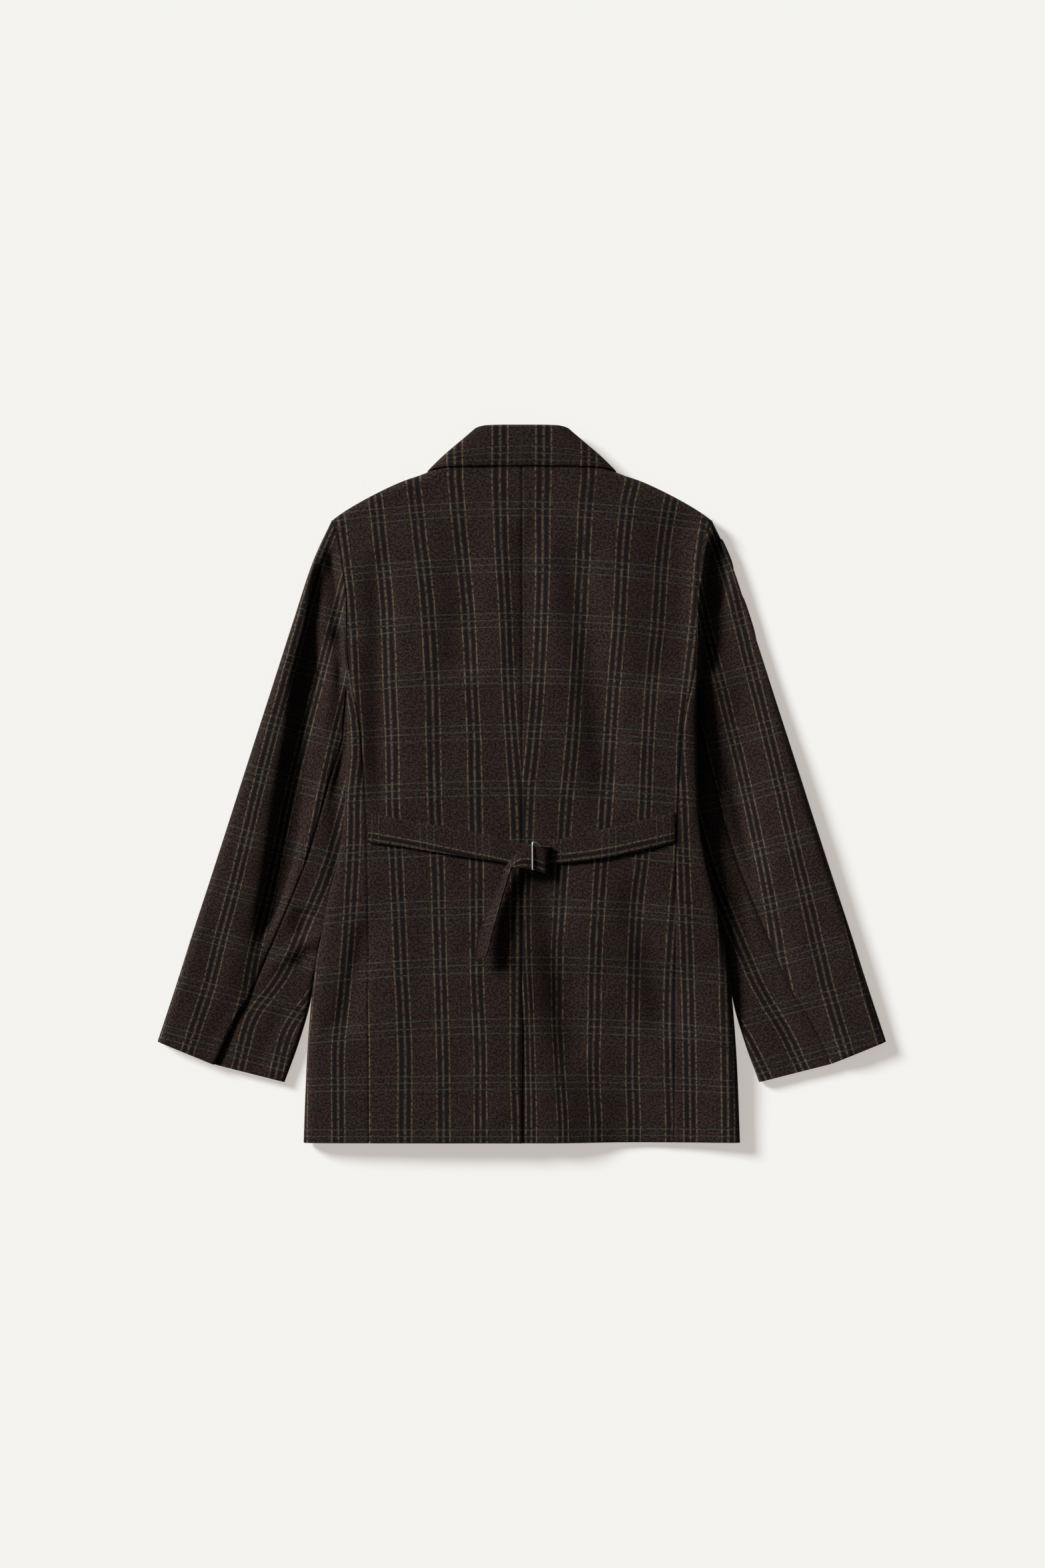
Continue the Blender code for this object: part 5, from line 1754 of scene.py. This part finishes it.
@dataclass
class HalfBelts:
    """The two half belts, the left one turned back through the ring into a hanging strap."""

    form: LaidForm
    wool: Material
    samples: int = 600
    step: float = 2.2
    usual_width: float = 26.0
    columns: int = 17
    edge_round: float = 0.7
    row_start: float = 4.0
    tail_tilt: float = 5.0
    tail_power: float = 3.0

    def grid(self, table: Table) -> ClothGrid:
        """Give a belt's outer face.

        Args:
            table: Sections across the belt.

        Returns:
            A grid along the belt and across it.
        """
        section = table.section()
        dense = np.linspace(0.0, 1.0, self.samples)
        down = arc_lengths(mix(section(dense)[:, 0:3], section(dense)[:, 3:6], 0.5), 0)
        places = np.interp(np.linspace(0.0, down[-1], round(down[-1] / self.step)), down, dense)
        values = section(places)[:, None, :]
        near, far, stripe = values[..., 0:3], values[..., 3:6], values[..., 6]
        width = np.linalg.norm(far - near, axis=-1)
        share = graded(self.usual_width, self.usual_width / self.columns)[None, :]
        points = mix(near, far, share[..., None])
        tilt = ease((far[..., 2] - near[..., 2] - self.tail_tilt) / self.tail_tilt)
        flat_top = 1 - (1 - share) ** (1 + self.tail_power * tilt)
        points[..., 2] = mix(near[..., 2], far[..., 2], flat_top)
        points[..., 2] += self.form.back_height(points[..., 0], points[..., 1])
        from_edge = np.minimum(share, 1 - share) * width
        out = BELT_THICKNESS / 2 - self.edge_round * bell(from_edge, DIP_WIDTH)
        points = points + unit_normals(points, (0, 0, 1)) * out[..., None]
        above = (1 - share) * width - stripe + STRIPE_OFFSET
        along = np.broadcast_to(np.interp(places, dense, down)[:, None] - self.row_start, above.shape)
        return ClothGrid(points, above, along, BELT_THICKNESS)

    def build(self) -> None:
        """Build and lay both half belts."""
        lay_cloth(self.grid(BELT_RIGHT), "belt_right", self.wool, "back_right")
        lay_cloth(self.grid(BELT_LEFT), "belt_left", self.wool, "back_left", "back_right")


@dataclass
class DRing:
    """The thin metal ring: a straight bar over the strap and a bow that passes inside its fold."""

    form: LaidForm
    metal: Material
    wire: float = 0.65
    bar_x: float = 11.6
    centre_y: float = -78.8
    half_bar: float = 15.0
    bow: float = 13.0
    lift: float = 12.8
    slope: float = 0.66
    bar_points: int = 12
    bow_points: int = 48
    sides: int = 4

    def build(self) -> None:
        """Build the ring as a round wire in place of its solid."""
        bar = np.linspace(-1.0, 1.0, self.bar_points, endpoint=False)
        turn = np.linspace(0.0, np.pi, self.bow_points, endpoint=False)
        reach = self.bow * np.concatenate([np.zeros_like(bar), np.sin(turn)])
        x = self.bar_x + reach
        y = self.centre_y + self.half_bar * np.concatenate([bar, np.cos(turn)])
        height = self.form.back_height(x, y) + self.lift - self.slope * reach
        curve = bpy.data.curves.new("d_ring", "CURVE")
        curve.dimensions = "3D"
        curve.bevel_depth = self.wire * MM
        curve.bevel_resolution = self.sides
        spline = curve.splines.new("POLY")
        spline.points.add(len(x) - 1)
        spline.use_cyclic_u = True
        for point, place in zip(spline.points, np.stack([x, y, height], axis=-1) * MM):
            point.co = (*place, 1.0)
        curve.materials.append(self.metal)
        piece = bpy.data.objects.new("d_ring", curve)
        bpy.context.scene.collection.objects.link(piece)
        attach(piece, BODY)
        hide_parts("ring")
        LOG.info("%s: bar %.1f mm, wire %.1f mm", piece.name, 2 * self.half_bar, 2 * self.wire)


@dataclass(frozen=True)
class Lamp:
    """A far soft light: where it stands, how wide it looks, and its strength."""

    name: str
    azimuth: float
    elevation: float
    spread: float
    strength: float


@dataclass
class Studio:
    """Pale floor, soft lights and a camera straight above."""

    floor_size: float = 6.0
    floor_drop: float = 0.3
    camera_height: float = 5.0
    camera_x: float = 0.735
    view_height: float = 1728.7
    view_plane: float = 12.0
    sensor: float = 36.0
    ambient: float = 0.075
    ambient_colour: Colour = (0.88, 0.94, 1.0, 1.0)
    lamps: tuple[Lamp, ...] = (
        Lamp("key", 147.0, 28.0, 16.0, 6.64),
        Lamp("fill", 170.0, 55.0, 26.0, 0.14),
    )

    def build_floor(self) -> None:
        """Build the surface that the garment lies on."""
        bpy.ops.mesh.primitive_plane_add(size=self.floor_size, location=(0.0, 0.0, -self.floor_drop * MM))
        floor = bpy.context.object
        floor.name = "floor"
        floor.data.materials.append(PaperFinish().make())

    def build_lights(self) -> None:
        """Add the lamps and an even glow from all round."""
        for lamp in self.lamps:
            light = bpy.data.lights.new(lamp.name, "SUN")
            light.energy = lamp.strength
            light.angle = np.radians(lamp.spread)
            holder = bpy.data.objects.new(lamp.name, light)
            tilt, turn = np.radians([90.0 - lamp.elevation, lamp.azimuth + 90.0])
            holder.rotation_euler = (tilt, 0.0, turn)
            bpy.context.scene.collection.objects.link(holder)
        world = bpy.data.worlds.new("glow")
        world.use_nodes = True
        background = world.node_tree.nodes["Background"]
        background.inputs["Color"].default_value = self.ambient_colour
        background.inputs["Strength"].default_value = self.ambient
        bpy.context.scene.world = world

    def build_camera(self) -> None:
        """Set the camera above the garment, looking straight down with the collar at the top."""
        data = bpy.data.cameras.new("camera")
        data.sensor_fit = "VERTICAL"
        data.sensor_height = self.sensor
        distance = self.camera_height - self.view_plane * MM
        data.lens = self.sensor * distance / (self.view_height * MM)
        camera = bpy.data.objects.new("camera", data)
        camera.location = (self.camera_x * MM, 0.0, self.camera_height)
        bpy.context.scene.collection.objects.link(camera)
        bpy.context.scene.camera = camera

    def build(self) -> None:
        """Build the whole studio."""
        self.build_floor()
        self.build_lights()
        self.build_camera()
        bpy.context.scene.view_settings.view_transform = "Standard"
        LOG.info("studio: %d lamps, camera %.1f m above", len(self.lamps), self.camera_height)


def main() -> None:
    """Build the studio and every piece of the blazer in order."""
    logging.basicConfig(level=logging.INFO, format="%(message)s")
    wool = WoolFinish().make()
    metal = MetalFinish().make()
    form = LaidForm()
    Studio().build()
    for part in (BodyHalf, Sleeve):
        for side in Side:
            part(side, form, wool).build()
    Collar(wool).build()
    HalfBelts(form, wool).build()
    DRing(form, metal).build()


if __name__ == "__main__":
    main()
